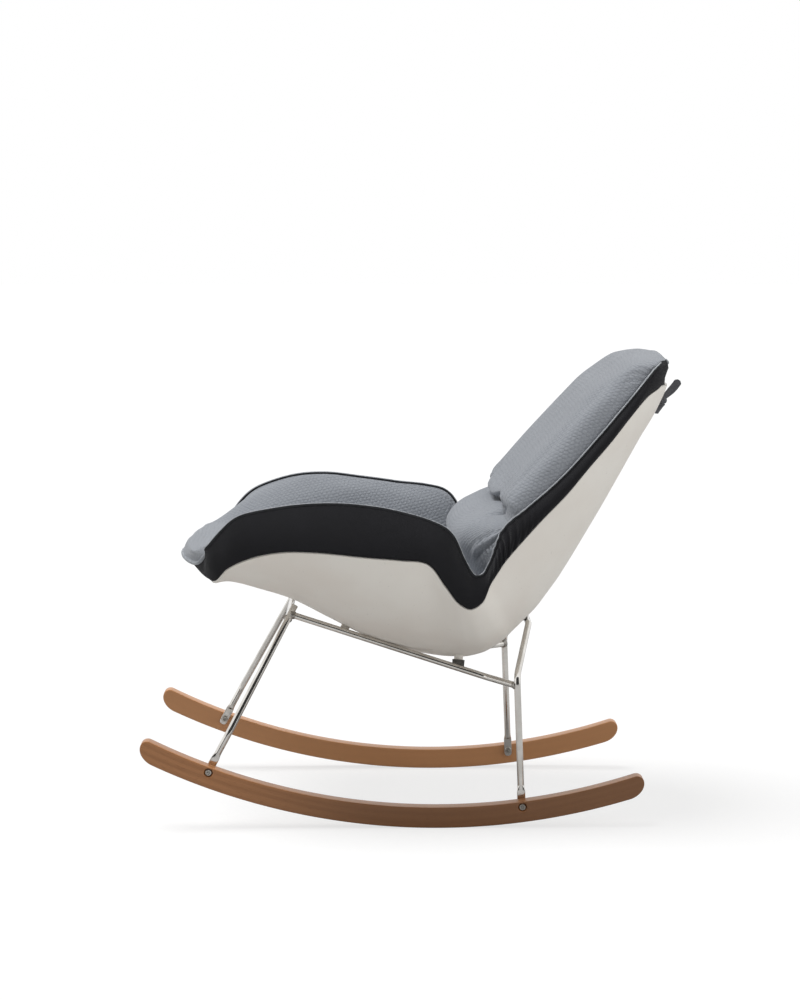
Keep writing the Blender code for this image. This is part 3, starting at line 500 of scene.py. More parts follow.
def joined(bodies):
    """Several (points, faces) bodies as one pair of arrays."""
    offset = np.cumsum([0] + [len(points) for points, _ in bodies])
    points = np.concatenate([points for points, _ in bodies])
    faces = np.concatenate([faces + start for (_, faces), start in zip(bodies, offset)])
    return points, faces


def settle(made):
    """Turn an object's modifiers into its mesh."""
    graph = bpy.context.evaluated_depsgraph_get()
    result = bpy.data.meshes.new_from_object(made.evaluated_get(graph), depsgraph=graph)
    old = made.data
    made.modifiers.clear()
    made.data = result
    bpy.data.meshes.remove(old)


def cut(made, points, faces):
    """Take a closed body out of an object with a Boolean, and remove the cutter."""
    tool = bpy.data.objects.new("cutter", fill_mesh("cutter", points, faces))
    bpy.context.scene.collection.objects.link(tool)
    boolean = made.modifiers.new("cut", "BOOLEAN")
    boolean.operation = "DIFFERENCE"
    boolean.solver = "EXACT"
    boolean.object = tool
    settle(made)
    mesh = tool.data
    bpy.data.objects.remove(tool)
    bpy.data.meshes.remove(mesh)


def bevelled(made, width, segments, angle):
    """Round the edges of an object that turn by more than angle, in degrees, with a Bevel modifier."""
    bevel = made.modifiers.new("edge", "BEVEL")
    bevel.width = width
    bevel.segments = segments
    bevel.limit_method = "ANGLE"
    bevel.angle_limit = math.radians(angle)
    bevel.harden_normals = True


# Materials

class Value:
    """A shader value: one output socket, with Python arithmetic that adds Math nodes."""

    def __init__(self, tree, socket):
        self.tree = tree
        self.socket = socket

    def _math(self, operation, *terms):
        node = self.tree.nodes.new("ShaderNodeMath")
        node.operation = operation
        for socket, term in zip(node.inputs, terms):
            feed(self.tree, socket, term)
        return Value(self.tree, node.outputs[0])

    def __add__(self, other):
        return self._math("ADD", self, other)

    def __sub__(self, other):
        return self._math("SUBTRACT", self, other)

    def __rsub__(self, other):
        return self._math("SUBTRACT", other, self)

    def __mul__(self, other):
        return self._math("MULTIPLY", self, other)

    __radd__ = __add__
    __rmul__ = __mul__

    def cos(self):
        return self._math("COSINE", self)

    def at_most(self, other):
        return self._math("MINIMUM", self, other)


def feed(tree, socket, term):
    """Give a socket a link or a plain value."""
    if isinstance(term, Value):
        tree.links.new(term.socket, socket)
    else:
        socket.default_value = term


class Finish:
    """A material in the making: its nodes come from one method and end in one Principled shader."""

    def __init__(self, name):
        self.material = bpy.data.materials.new(name)
        self.material.use_nodes = True
        self.tree = self.material.node_tree
        self.tree.nodes.clear()

    def node(self, kind, settings=None, out=0, **values):
        """A node of any kind: its settings first, then its sockets by name or by i and a number."""
        node = self.tree.nodes.new("ShaderNode" + kind)
        for key, setting in (settings or {}).items():
            setattr(node, key, setting)
        for key, value in values.items():
            spot = int(key[1:]) if key[1:].isdigit() else key.replace("_", " ")
            feed(self.tree, node.inputs[spot], value)
        return Value(self.tree, node.outputs[out])

    def mix(self, share, first, second):
        """Colour that goes from first to second with share; each is a value or three plain numbers."""
        first, second = (tone if isinstance(tone, Value) else (*tone, 1) for tone in (first, second))
        return self.node("Mix", {"data_type": "RGBA"}, out=2, i0=share, i6=first, i7=second)

    def noise(self, vector, scale, detail=3.0, roughness=0.55, out=0):
        """Noise between about 0.3 and 0.7 round a half."""
        return self.node("TexNoise", out=out, Vector=vector, Scale=scale, Detail=detail,
                         Roughness=roughness)

    def stretched(self, vector, scale, detail=3.0, roughness=0.55):
        """Noise with a scale of its own along each axis."""
        return self.noise(self.node("Mapping", Vector=vector, Scale=scale), 1.0, detail, roughness)

    def step(self, value, low, high):
        """0 below low, 1 above high, eased between."""
        return self.node("MapRange", {"interpolation_type": "SMOOTHSTEP"}, Value=value, i1=low, i2=high)

    def here(self):
        """Object coordinates."""
        return self.node("TexCoord", out=3)

    def cloth(self):
        """The cushion's own map, in metres along its surface."""
        return self.node("UVMap", {"uv_map": "cloth"})

    def parts(self, vector):
        """The x, y and z of a vector."""
        split = self.node("SeparateXYZ", Vector=vector).socket.node
        return [Value(self.tree, socket) for socket in split.outputs]

    def bump(self, height, strength, distance):
        """A surface normal from a height."""
        return self.node("Bump", Height=height, Strength=strength, Distance=distance)

    def shown(self, shader):
        """The material with this shader on its surface."""
        end = self.tree.nodes.new("ShaderNodeOutputMaterial")
        self.tree.links.new(shader.socket, end.inputs["Surface"])
        return self.material

    def done(self, **values):
        """The material with a Principled shader of these values on its surface."""
        return self.shown(self.node("BsdfPrincipled", **values))


def linear(colour):
    """An sRGB colour of 0 to 255 as linear light."""
    c = np.array(colour, float) / 255
    return tuple(np.where(c <= 0.04045, c / 12.92, ((c + 0.055) / 1.055) ** 2.4).tolist())


def quilted_fabric(look):
    """Grey melange knit with small puffed cells: three cosines at 60 degrees, with painted shade in the
    grooves.
    """
    f = Finish("quilted fabric")
    uv = f.cloth()
    here = f.here()
    drift = uv
    for scale, reach in ((12.0, 0.010), (70.0, 0.006)):
        stray = f.noise(uv, scale, 2.0, out=1)
        drift = f.node("VectorMath", {"operation": "MULTIPLY_ADD"},
                       i0=stray, i1=(reach, reach, 0), i2=drift)
    u, v, _ = f.parts(drift)
    turn = 2 * math.pi / look.cell
    along, aside = u * 0.5, v * 0.866
    lattice = (u * turn).cos() + ((along + aside) * turn).cos() + ((along - aside) * turn).cos()
    puff = f.step(lattice, -1.5, 1.2)
    melange = f.noise(here, 420.0, 3.0, 0.7)
    cloud = f.noise(here, 14.0, 3.0)
    # Painted shade: the cover is darker in the grooves between the puffed cells.
    tone = f.mix(puff, look.groove_shade_and_cloud, look.face_colour)
    tone = f.mix(f.step(melange, 0.40, 0.68) * 0.30, tone, look.face_fleck)
    # Darker clouds at random, in the same colour as the painted groove shade.
    tone = f.mix(f.step(cloud, 0.35, 0.75) * 0.16, tone, look.groove_shade_and_cloud)
    pebble = f.noise(here, 300.0, 3.0, 0.65)
    height = puff * 0.5 + pebble * 0.7
    return f.done(Base_Color=tone, Roughness=0.82 + melange * 0.14,
                  Normal=f.bump(height, look.quilt_bump, 0.0020),
                  Sheen_Weight=0.25, Sheen_Roughness=0.5)


def side_fabric(look):
    """Charcoal plain weave of the cushion's band and back: crossed threads with a slub."""
    f = Finish("charcoal weave")
    uv = f.cloth()
    u, v, _ = f.parts(uv)
    turn = 2 * math.pi / look.thread_pitch
    weave = (u * turn).cos() * (v * turn).cos()
    slub = f.stretched(uv, (900, 60, 1), 2.0)
    wear = f.noise(f.here(), 22.0, 4.0)
    tone = f.mix(f.step(weave + slub, 0.0, 1.3), linear((27, 27, 29)), look.side_colour)
    tone = f.mix(f.step(wear, 0.42, 0.72) * 0.30, tone, linear((38, 38, 42)))
    return f.done(Base_Color=tone, Roughness=0.8 + slub * 0.15,
                  Normal=f.bump(weave + slub * 0.6, 0.5, 0.0006),
                  Specular_IOR_Level=0.15, Sheen_Weight=0.10, Sheen_Roughness=0.4)


def piping_fabric(name, pale, deep):
    """Bias-cut binding: fine threads along the cord, in uneven tones."""
    f = Finish(name)
    here = f.here()
    threads = f.stretched(here, (700, 700, 700), 2.0)
    cloud = f.noise(here, 40.0, 2.0)
    tone = f.mix(f.step(threads + cloud * 0.4, 0.45, 0.95), linear(deep), linear(pale))
    return f.done(Base_Color=tone, Roughness=0.85 + threads * 0.1, Normal=f.bump(threads, 0.5, 0.0006))


def shell_plastic(look):
    """Warm white moulded plastic: fine spark-eroded grain, faint flow clouds and small scuffs."""
    f = Finish("moulded plastic")
    here = f.here()
    grain = f.noise(here, 1400.0, 2.0)
    cloud = f.noise(here, 6.0, 3.0)
    scuff = f.step(f.stretched(here, (260, 40, 150)), 0.66, 0.74)
    tone = f.mix(f.step(cloud, 0.3, 0.7), look.colour, look.shade)
    tone = f.mix(scuff * 0.10, tone, linear((120, 112, 100)))
    return f.done(Base_Color=tone, Roughness=0.44 + grain * 0.10 + scuff * 0.1,
                  Normal=f.bump(grain, 0.12, 0.0004))


def rocker_wood(look):
    """Lacquered bent beech read along the bar: long growth bands, fine fibres and short dark flecks, with
    painted shade on the left rocker's outer face towards its rear and painted light over the right rocker.
    """
    f = Finish("bent beech")
    grain = f.node("Attribute", {"attribute_name": "grain"}, out=1)
    along, across, up = f.parts(grain)
    bend = f.stretched(grain, (1.3, 9, 9), 2.0)
    rings = (up * 520 + across * 170 + bend * 26).cos() * 0.5 + 0.5
    fibre = f.stretched(grain, (14, 900, 900), 4.0, 0.7)
    fleck = f.step(f.stretched(grain, (120, 1500, 1500), 2.0), 0.60, 0.68)
    board = f.stretched(grain, (2.2, 30, 30))
    tone = f.mix(f.step(rings * 0.22 + fibre * 0.8 + board * 0.6, 0.40, 1.10), look.dark, look.pale)
    tone = f.mix(fleck * 0.45, tone, look.fleck)
    tone = f.mix(f.step(board, 0.45, 0.75) * 0.30, tone, look.dark)
    # Painted shade: the left rocker's outer face turns darker towards its rear, standing in for shade on
    # that side.
    left = 1 - f.step(along, -1.2, -0.8)
    outer = f.step(across * -1, 0.2620, 0.2642)
    tone = f.mix(f.step(along, -2.42, -2.10) * left * outer * 0.75, tone, look.painted_side_shade)
    # Painted light: the whole right rocker is made paler, standing in for light that reaches it.
    tone = f.mix((1 - left) * 0.8, tone, look.painted_light)
    return f.done(Base_Color=tone, Roughness=0.34 + fibre * 0.16 + fleck * 0.1,
                  Normal=f.bump(fibre - fleck * 0.6, 0.10, 0.0005),
                  Coat_Weight=0.15, Coat_Roughness=0.25)


def polished_steel(look):
    """Chromed tube: near-mirror with a soft cloud of fine polishing marks."""
    f = Finish("chromed tube")
    here = f.here()
    marks = f.stretched(here, (900, 900, 60), 2.0)
    cloud = f.noise(here, 30.0, 3.0)
    tone = f.mix(f.step(cloud, 0.35, 0.7), look.metal, look.metal_shade)
    return f.done(Base_Color=tone, Metallic=1.0, Roughness=0.05 + cloud * 0.08 + marks * 0.04,
                  Normal=f.bump(marks, 0.02, 0.0002))


def fitting_metal(name, colour, shade, rough):
    """Plated steel of small fittings, with a brushed cloud and darker worn spots."""
    f = Finish(name)
    here = f.here()
    cloud = f.noise(here, 160.0, 3.0)
    fine = f.noise(here, 2200.0, 2.0)
    tone = f.mix(f.step(cloud, 0.4, 0.7), linear(colour), linear(shade))
    return f.done(Base_Color=tone, Metallic=1.0, Roughness=rough + cloud * 0.15 + fine * 0.08,
                  Normal=f.bump(fine, 0.08, 0.0002))


def soft_rubber():
    """Black rubber with a dusty bloom."""
    f = Finish("bumper rubber")
    here = f.here()
    bloom = f.noise(here, 180.0, 4.0)
    fine = f.noise(here, 2500.0, 2.0)
    tone = f.mix(f.step(bloom, 0.4, 0.8), (0.012, 0.012, 0.012), (0.05, 0.048, 0.045))
    return f.done(Base_Color=tone, Roughness=0.62 + bloom * 0.25, Normal=f.bump(fine, 0.3, 0.0003))


def tie_ribbon_cloth():
    """Dark twill tape: fine slanted ribs."""
    f = Finish("twill tape")
    here = f.here()
    x, y, z = f.parts(here)
    ribs = ((x + y * 1.2 + z) * 4200).cos() * 0.5 + 0.5
    slub = f.noise(here, 600.0, 2.0)
    tone = f.mix(f.step(ribs + slub, 0.5, 1.3), linear((66, 67, 71)), linear((108, 109, 114)))
    return f.done(Base_Color=tone, Roughness=0.8 + slub * 0.1, Normal=f.bump(ribs, 0.5, 0.0004))


def studio_floor(look):
    """Pale floor: seen directly it is part its own white and part lit, so that shadows stay soft."""
    f = Finish("studio floor")
    seen = f.node("LightPath")
    tint = f.noise(f.here(), 1.5, 2.0)
    bright = f.mix(f.step(tint, 0.3, 0.7), (0.98, 0.98, 0.98), (0.97, 0.97, 0.97))
    lit = f.node("BsdfPrincipled", Base_Color=f.mix(seen, look.floor, bright), Roughness=0.9,
                 Specular_IOR_Level=0.0)
    own = f.node("Emission", Color=(1, 1, 1, 1), Strength=1.0)
    return f.shown(f.node("MixShader", i0=seen * look.own_white, i1=lit, i2=own))


def dark_card():
    """Matt dark board that only metal and gloss show."""
    return Finish("dark card").done(Base_Color=(0.05, 0.05, 0.05, 1), Roughness=0.9)


# Settings a user may change

def number_setting(name, description, default, low, high, unit="NONE"):
    """A plain number, or one with a unit."""
    return FloatProperty(name=name, description=description, default=default, min=low, max=high, unit=unit)


def count_setting(name, description, default, low, high):
    """A whole number."""
    return IntProperty(name=name, description=description, default=default, min=low, max=high)


def length_setting(name, description, default, low, high):
    """A length in metres."""
    return number_setting(name, description, default, low, high, "LENGTH")


def angle_setting(name, description, default, low=-math.pi, high=math.pi):
    """An angle in radians."""
    return number_setting(name, description, default, low, high, "ROTATION")


def colour_setting(name, description, default):
    """A colour in linear light."""
    return FloatVectorProperty(name=name, description=description, subtype="COLOR", size=3, min=0, max=1,
                               default=default)


class CushionSettings(bpy.types.PropertyGroup):
    """Sizes and colours of the cushion."""

    crest_width: length_setting("Crest width", "Width of the seam strip under the piping",
                                0.0055, 0.001, 0.012)
    inset: length_setting("Lining inset", "Distance of the cushion's back from the shell's outside",
                          0.0054, 0.0046, 0.012)
    piping: length_setting("Piping radius", "Radius of the roll along arms and back", 0.0033, 0.001, 0.006)
    thread: length_setting("Edge line radius", "Radius of the pale line on the roll", 0.0013, 0.0005, 0.004)
    lip: length_setting("Lip radius", "Radius of the rolled front and top edges", 0.0034, 0.001, 0.006)
    cell: length_setting("Quilt cell", "Width of one puffed cell of the cover", 0.0070, 0.004, 0.05)
    quilt_bump: number_setting("Quilt relief", "Strength of the cells' relief", 0.60, 0, 2)
    thread_pitch: length_setting("Thread pitch", "Distance between the band's threads", 0.0019, 0.001, 0.01)
    rows: count_setting("Rows", "Grid rows from the lip to the top", 330, 60, 600)
    columns: count_setting("Columns", "Grid columns across", 148, 40, 300)
    pressure: number_setting("Filling pressure", "Pressure that swells the cover", 4.0, 0, 20)
    start_in: length_setting("Start inside", "How far inside its shape the cover starts", 0.0040, 0, 0.02)
    most: length_setting("Most movement", "How far the swelling may move a point", 0.0060, 0, 0.03)
    tuft: length_setting("Tuft depth", "Depth of the pulls along the back fold", 0.030, 0, 0.05)
    overhang: length_setting("Overhang", "How far the back hangs over its fold", 0.013, 0, 0.03)
    pleat: length_setting("Pleat depth", "Depth of the gathers at the notch", 0.0036, 0, 0.02)
    face_colour: colour_setting("Face", "Cover between the grooves", linear((152, 156, 162)))
    # Painted shade in the grooves; the same colour also tints the darker random clouds.
    groove_shade_and_cloud: colour_setting("Groove shade and cloud", "Cover in the grooves", linear((143, 147, 154)))
    face_fleck: colour_setting("Fleck", "Pale yarn in the cover", linear((172, 175, 180)))
    side_colour: colour_setting("Side", "Band and back of the cushion", linear((42, 42, 45)))


class ShellSettings(bpy.types.PropertyGroup):
    """Size and colours of the moulded shell."""

    thickness: length_setting("Wall", "Thickness of the shell", 0.0045, 0.002, 0.01)
    edge: length_setting("Edge", "Rounding of the rim", 0.0016, 0.0003, 0.002)
    lip_rise: length_setting("Lip rise", "How far the front rim turns up", 0.008, 0, 0.02)
    colour: colour_setting("Plastic", "Colour of the plastic", linear((243, 239, 231)))
    shade: colour_setting("Plastic shade", "Deeper tone of the plastic", linear((238, 232, 223)))


class RockerSettings(bpy.types.PropertyGroup):
    """Edge and colours of the rockers."""

    edge: length_setting("Edge", "Rounding along the rockers", 0.0018, 0.001, 0.01)
    pale: colour_setting("Pale wood", "Early growth", linear((178, 124, 79)))
    dark: colour_setting("Dark wood", "Late growth", linear((152, 102, 62)))
    fleck: colour_setting("Fleck", "Short ray flecks", linear((116, 74, 43)))
    # Painted shade on the left rocker's outer face, darker towards its rear.
    painted_side_shade: colour_setting("Painted side shade", "Deep tone of the left rocker's outer layer", linear((116, 78, 48)))
    # Painted light over the right rocker.
    painted_light: colour_setting("Painted light", "Pale tone of the right rocker", linear((204, 147, 100)))


class FrameSettings(bpy.types.PropertyGroup):
    """Sizes and colours of the tube frame."""

    weld: length_setting("Weld", "Height of the weld beads", 0.0018, 0.0005, 0.004)
    metal: colour_setting("Metal", "Colour of the tubes", linear((230, 227, 222)))
    metal_shade: colour_setting("Metal shade", "Deeper tone of the tubes", linear((212, 208, 202)))


class StageSettings(bpy.types.PropertyGroup):
    """Camera, floor and light."""

    place: FloatVectorProperty(name="Camera", description="Camera position", subtype="TRANSLATION", size=3,
                               default=(-0.07139, -4.66244, 1.06908))
    pitch: angle_setting("Pitch", "Camera tilt below level", 0.1089)
    yaw: angle_setting("Yaw", "Camera turn about the upright", -0.0097)
    lens: number_setting("Lens", "Focal length in millimetres", 90.67, 10, 300)
    sky: number_setting("Sky", "Strength of the even light", 0.38, 0, 2)
    sun: number_setting("Key", "Strength of the soft key light", 2.30, 0, 5)
    spread: angle_setting("Key spread", "Apparent width of the key light", math.radians(34), 0)
    side_light: number_setting("Side light", "Strength of the broad light from the right", 1.10, 0, 5)
    floor: colour_setting("Floor", "Colour of the floor's bounce", (0.50, 0.50, 0.50))
    own_white: number_setting("Floor white", "Share of the floor's own white in view", 0.70, 0, 1)


SETTINGS = {
    "chair_cushion": CushionSettings,
    "chair_shell": ShellSettings,
    "chair_rockers": RockerSettings,
    "chair_frame": FrameSettings,
    "chair_stage": StageSettings,
}


# Stage

SENSOR = 36
VIEW_END = 200
FLOOR_HALF = 40
FLOOR_DROP = 0.0002
CARD_X = (-7.0, 11.0)
CARD_Y = -7.0
CARD_Z = (0.0, 8.0)
KEY_AIM = (0.34, -0.08, -1)
SIDE_AIM = (-0.85, 0.42, -0.30)
SIDE_SPREAD = math.radians(80)


def board(name, points, material):
    """A flat grid of the stage from its rows of points."""
    made = bpy.data.objects.new(name, fill_mesh(name, points.reshape(-1, 3), grid_faces(*points.shape[:2])))
    bpy.context.scene.collection.objects.link(made)
    made.data.materials.append(material)
    return made


def studio_world(strength):
    """White world that lights with its strength and is seen, directly or in gloss, at full white."""
    world = bpy.data.worlds.new("studio")
    world.use_nodes = True
    tree = world.node_tree
    tree.nodes.clear()
    path = tree.nodes.new("ShaderNodeLightPath").outputs
    rays = [Value(tree, path[name]) for name in ("Is Camera Ray", "Is Glossy Ray", "Is Transmission Ray")]
    seen = (rays[0] + rays[1] + rays[2]).at_most(1.0)
    sky = tree.nodes.new("ShaderNodeBackground")
    sky.inputs["Color"].default_value = (1, 1, 1, 1)
    feed(tree, sky.inputs["Strength"], seen * (1 - strength) + strength)
    end = tree.nodes.new("ShaderNodeOutputWorld")
    tree.links.new(sky.outputs[0], end.inputs["Surface"])
    return world


class CHAIR_OT_stage(bpy.types.Operator):
    """Camera, pale floor and soft studio light"""

    bl_idname = "chair.stage"
    bl_label = "Stage"

    def execute(self, context):
        scene = context.scene
        look = scene.chair_stage
        scene.view_settings.view_transform = "Standard"
        camera = bpy.data.objects.new("camera", bpy.data.cameras.new("camera"))
        camera.data.sensor_fit = "VERTICAL"
        camera.data.sensor_height = SENSOR
        camera.data.lens = look.lens
        camera.data.clip_end = VIEW_END
        camera.location = look.place
        camera.rotation_euler = (math.pi / 2 - look.pitch, 0, look.yaw)
        scene.collection.objects.link(camera)
        scene.camera = camera

        x, y = np.meshgrid(*[np.linspace(-FLOOR_HALF, FLOOR_HALF, 3)] * 2)
        board("floor", np.stack((x, y, np.full_like(x, -FLOOR_DROP)), -1), studio_floor(look))
        for name, strength, spread, aim in (("key", look.sun, look.spread, KEY_AIM),
                                            ("side", look.side_light, SIDE_SPREAD, SIDE_AIM)):
            light = bpy.data.lights.new(name, "SUN")
            light.energy = strength
            light.angle = spread
            lamp = bpy.data.objects.new(name, light)
            lamp.rotation_euler = Vector(aim).to_track_quat("-Z", "Y").to_euler()
            lamp.visible_glossy = False
            scene.collection.objects.link(lamp)
        x, z = np.meshgrid(CARD_X, CARD_Z)
        card = board("dark card", np.stack((x, np.full_like(x, CARD_Y), z), -1), dark_card())
        for kind in ("camera", "diffuse", "transmission", "shadow"):
            setattr(card, "visible_" + kind, False)
        scene.world = studio_world(look.sky)
        return {"FINISHED"}


# Shell

SHELL_ROWS = 260
SHELL_COLUMNS = 121
LIP_STATIONS = 0.3
SLOT_HALF = (0.02, 0.010, 0.0032)
SLOT_LEAN = math.radians(24)
BOX_SIDES = np.array(((0, 1, 3, 2), (4, 6, 7, 5), (0, 4, 5, 1), (2, 3, 7, 6), (0, 2, 6, 4), (1, 5, 7, 3)))


class CHAIR_OT_shell(bpy.types.Operator):
    """Moulded bucket shell with a slot for the tie"""

    bl_idname = "chair.shell"
    bl_label = "Shell"

    def execute(self, context):
        look = context.scene.chair_shell
        station = np.linspace(SHELL_FROM, SHELL_TO, SHELL_ROWS)
        reach = np.linspace(-1, 1, SHELL_COLUMNS)
        outside = section_points(station, reach)
        lip = 1 - ramp(station, SHELL_FROM, LIP_STATIONS)
        outside[..., 2] += look.lip_rise * lip[:, None] * (1 - reach ** 4)
        inside = outside + grid_normals(outside) * look.thickness
        made = stand_in("seat_shell", solid_between(inside, outside), shell_plastic(look))
        low, high = node_box("tie_strap")
        x, y, z = np.meshgrid(*((-half, half) for half in SLOT_HALF), indexing="ij")
        cos, sin = math.cos(SLOT_LEAN), math.sin(SLOT_LEAN)
        corners = np.stack((x * cos + z * sin, y, z * cos - x * sin), -1).reshape(-1, 3) + (low + high) / 2
        cut(made, corners, outward(corners, BOX_SIDES))
        bevelled(made, look.edge, segments=3, angle=50)
        return {"FINISHED"}


# Cushion

PADS = ("seat", "lumbar", "back", "arm_left", "arm_right")
CUSHION_NODES = ["cushion_backing"] + [pad + layer for pad in PADS for layer in ("_foam", "_cover")]
# Runs of grid rows: first station, last station, share of the rows
ROW_RUNS = ((0, LUMBAR_FOLD, 0.52), (LUMBAR_FOLD, BACK_FOLD, 0.16), (BACK_FOLD, LAST_STATION, 0.32))
ROWS_TO_FOLD = 1.3
COLUMNS_TO_CREST = 1.12
# The coarse copy that the filling swells, how it is held and what it is like
PAD_ROWS = 118
PAD_COLUMNS = 97
SEAM_HOLD = 0.4
FILLING_FRAMES = 20
SWELL_PASSES = 4
FILLING = {"quality": 5, "mass": 0.2, "tension_stiffness": 12, "compression_stiffness": 12,
           "shear_stiffness": 6, "bending_stiffness": 0.4, "vertex_group_mass": "held",
           "use_pressure": True}
CORNER_PASSES = 70
# Tufts along the back fold: y, share of the depth, size; valleys above the large ones: offset, share
TUFTS = ((0.145, 0.2, 0.020), (-0.145, 0.2, 0.020), (0.226, 0.5, 0.010), (-0.226, 0.5, 0.010))
LARGE_TUFT = 0.015
TUFT_VALLEYS = ((-0.030, 0.5), (-0.008, 1.0), (0.021, 0.8))
# Shifts of the face at the back fold
FOLD_ABACK = np.array((0.016, 0, 0.014))
FOLD_PULL = np.array((1, 0, -0.06))
FOLD_ROLL = np.array((1, 0, 0.25))
# Heights of small folds, and shares of the pleat depth
RAY_HEIGHT = 0.0020
VALLEY_DEPTH = 0.0050
FAN_HEIGHT = 0.0017
BACK_WAVE = 0.0008
TOP_WAVE = 0.0012
UNEVENNESS = 0.0012
BAND_PLEAT = 0.0032
BAND_WAVE = 0.0004
TUCK_RIDGE = 0.9
TUCK_GROOVE = 2.2
GATHERS = 0.85
NOTCH_PLEATS = 0.6
# The backing under the front edge
FRONT_DRAW = 0.98
FRONT_DRAW_STATIONS = 1.3
FRONT_BULGE = np.array((-0.005, 0, -0.002))
# Piping, with heights in radii: spacing of its points, its ends and the pale line on it
PIPING_STEP = 0.003
PIPING_TAPER = 0.016
PIPING_RISE = 0.35
PIPING_SINK = 1.1
CORNER_RISE = -1.0
LINE_RISE = 1.40
LINE_SINK = 2.2
LINE_INWARD = 0.55
SINK_FRONT = 0.9
SINK_TOP = 1


class CHAIR_OT_cushion(bpy.types.Operator):
    """Tied cushion: quilted face swelled by its filling, dark band and back"""

    bl_idname = "chair.cushion"
    bl_label = "Cushion"

    def execute(self, context):
        look = context.scene.chair_cushion
        station, column = cushion_grid(look)
        face = face_points(station, column, look.crest_width)
        face = swelled(face, station, column, look)
        plain = corners_eased(face, station, column)
        face = creased(plain, station, column, look)
        skin = gathered(skin_points(station, column, look.inset), station, column)
        skin = drawn_to_front(skin, face, station)
        points, faces = solid_between(face, skin)
        along = [arc_lengths(grid, 0, nearest(station, LUMBAR_FOLD)) for grid in (plain, skin)]
        fold = nearest(station, BACK_FOLD)
        along[0][fold:] -= along[0][fold]
        uv = np.concatenate([np.stack((u, arc_lengths(grid, 1, nearest(column, 0))), -1).reshape(-1, 2)
                             for u, grid in zip(along, (plain, skin))])
        mesh = fill_mesh("cushion", points, faces, uv)
        fabrics = [quilted_fabric(look), side_fabric(look)]
        made = piece("cushion", mesh, fabrics, CUSHION_NODES)
        dark = (faces >= station.size * column.size).any(axis=1)
        mesh.polygons.foreach_set("material_index", dark.astype(np.int32))
        mesh.update()
        build_piping(look, face, skin, station)
        return {"FINISHED"}


def cushion_grid(look):
    """Station and column numbers of the fine grid: a row on each fold, columns closer towards the crest."""
    runs = [np.linspace(low, high, round(look.rows * share), endpoint=False)
            for low, high, share in ROW_RUNS]
    back = LAST_STATION - BACK_FOLD
    runs[-1] = BACK_FOLD + back * ((runs[-1] - BACK_FOLD) / back) ** ROWS_TO_FOLD
    place = np.linspace(-1, 1, look.columns + 1)
    column = CREST * np.sign(place) * (1 - (1 - np.abs(place)) ** COLUMNS_TO_CREST)
    return np.concatenate(runs + [[LAST_STATION]]), column


def swelled(face, station, column, look):
    """The face after its filling pushes it out: a coarse copy, held at its seams, under Cloth pressure."""
    few = np.unique(np.concatenate((np.linspace(0, LAST_STATION, PAD_ROWS), [LUMBAR_FOLD, BACK_FOLD])))
    bars = np.linspace(-CREST, CREST, PAD_COLUMNS)
    rest = face_points(few, bars, look.crest_width)
    row, bar = np.meshgrid(few, bars, indexing="ij")
    edge = (np.abs(bar) > CREST - 0.1) | (row < 0.01) | (row > LAST_STATION - 0.01)
    fold = (np.abs(row - LUMBAR_FOLD) < 0.05) | (np.abs(row - BACK_FOLD) < 0.05)
    seam = (np.abs(np.abs(bar) - SEAM) < 0.12) & (row < LUMBAR_FOLD) & (row > 4)
    held = np.where(edge | fold, 1.0, np.where(seam, SEAM_HOLD, 0.0))
    normal = grid_normals(rest)
    start = rest - normal * (look.start_in * (1 - held))[..., None]
    faces = grid_faces(*start.shape[:2])[:, ::-1]
    pad = bpy.data.objects.new("pad", fill_mesh("pad", start.reshape(-1, 3), faces))
    scene = bpy.context.scene
    scene.collection.objects.link(pad)
    group = pad.vertex_groups.new(name="held")
    for weight in np.unique(held[held > 0]):
        group.add(np.flatnonzero(held.ravel() == weight).tolist(), float(weight), "REPLACE")
    cloth = pad.modifiers.new("filling", "CLOTH")
    for key, setting in FILLING.items():
        setattr(cloth.settings, key, setting)
    cloth.settings.uniform_pressure_force = look.pressure
    cloth.settings.effector_weights.gravity = 0
    cloth.collision_settings.use_collision = False
    cloth.point_cache.frame_start = 1
    cloth.point_cache.frame_end = FILLING_FRAMES
    for moment in range(1, FILLING_FRAMES + 1):
        scene.frame_set(moment)
    result = pad.evaluated_get(bpy.context.evaluated_depsgraph_get()).to_mesh()
    after = np.empty(len(result.vertices) * 3, np.float32)
    result.vertices.foreach_get("co", after)
    mesh = pad.data
    bpy.data.objects.remove(pad)
    bpy.data.meshes.remove(mesh)
    scene.frame_set(1)
    push = np.einsum("ijk,ijk->ij", after.reshape(start.shape).astype(float) - rest, normal)
    push = np.clip(push, 0, look.most) * (held < 1)
    for _ in range(SWELL_PASSES):
        around = np.pad(push, 1, mode="edge")
        around = (around[:-2] + 2 * around[1:-1] + around[2:]) / 4
        push = (around[:, :-2] + 2 * around[:, 1:-1] + around[:, 2:]) / 4 * (held < 1)
    weights_row = spline(few, np.eye(len(few)), station)
    weights_bar = spline(bars, np.eye(len(bars)), column)
    return face + grid_normals(face) * (weights_row @ push @ weights_bar.T)[..., None]


def corners_eased(face, station, column):
    """Front corners made round: each point there moves to the mean of its neighbours, many times over."""
    ease = ramp(station, start=4.6, span=-2)[:, None] * ramp(np.abs(column), start=3.5, span=2.5)
    ease = ease[1:-1, 1:-1, None]
    face = face.copy()
    for _ in range(CORNER_PASSES):
        mean = (face[:-2, 1:-1] + face[2:, 1:-1] + face[1:-1, :-2] + face[1:-1, 2:]) / 4
        face[1:-1, 1:-1] += ease * (mean - face[1:-1, 1:-1])
    return face


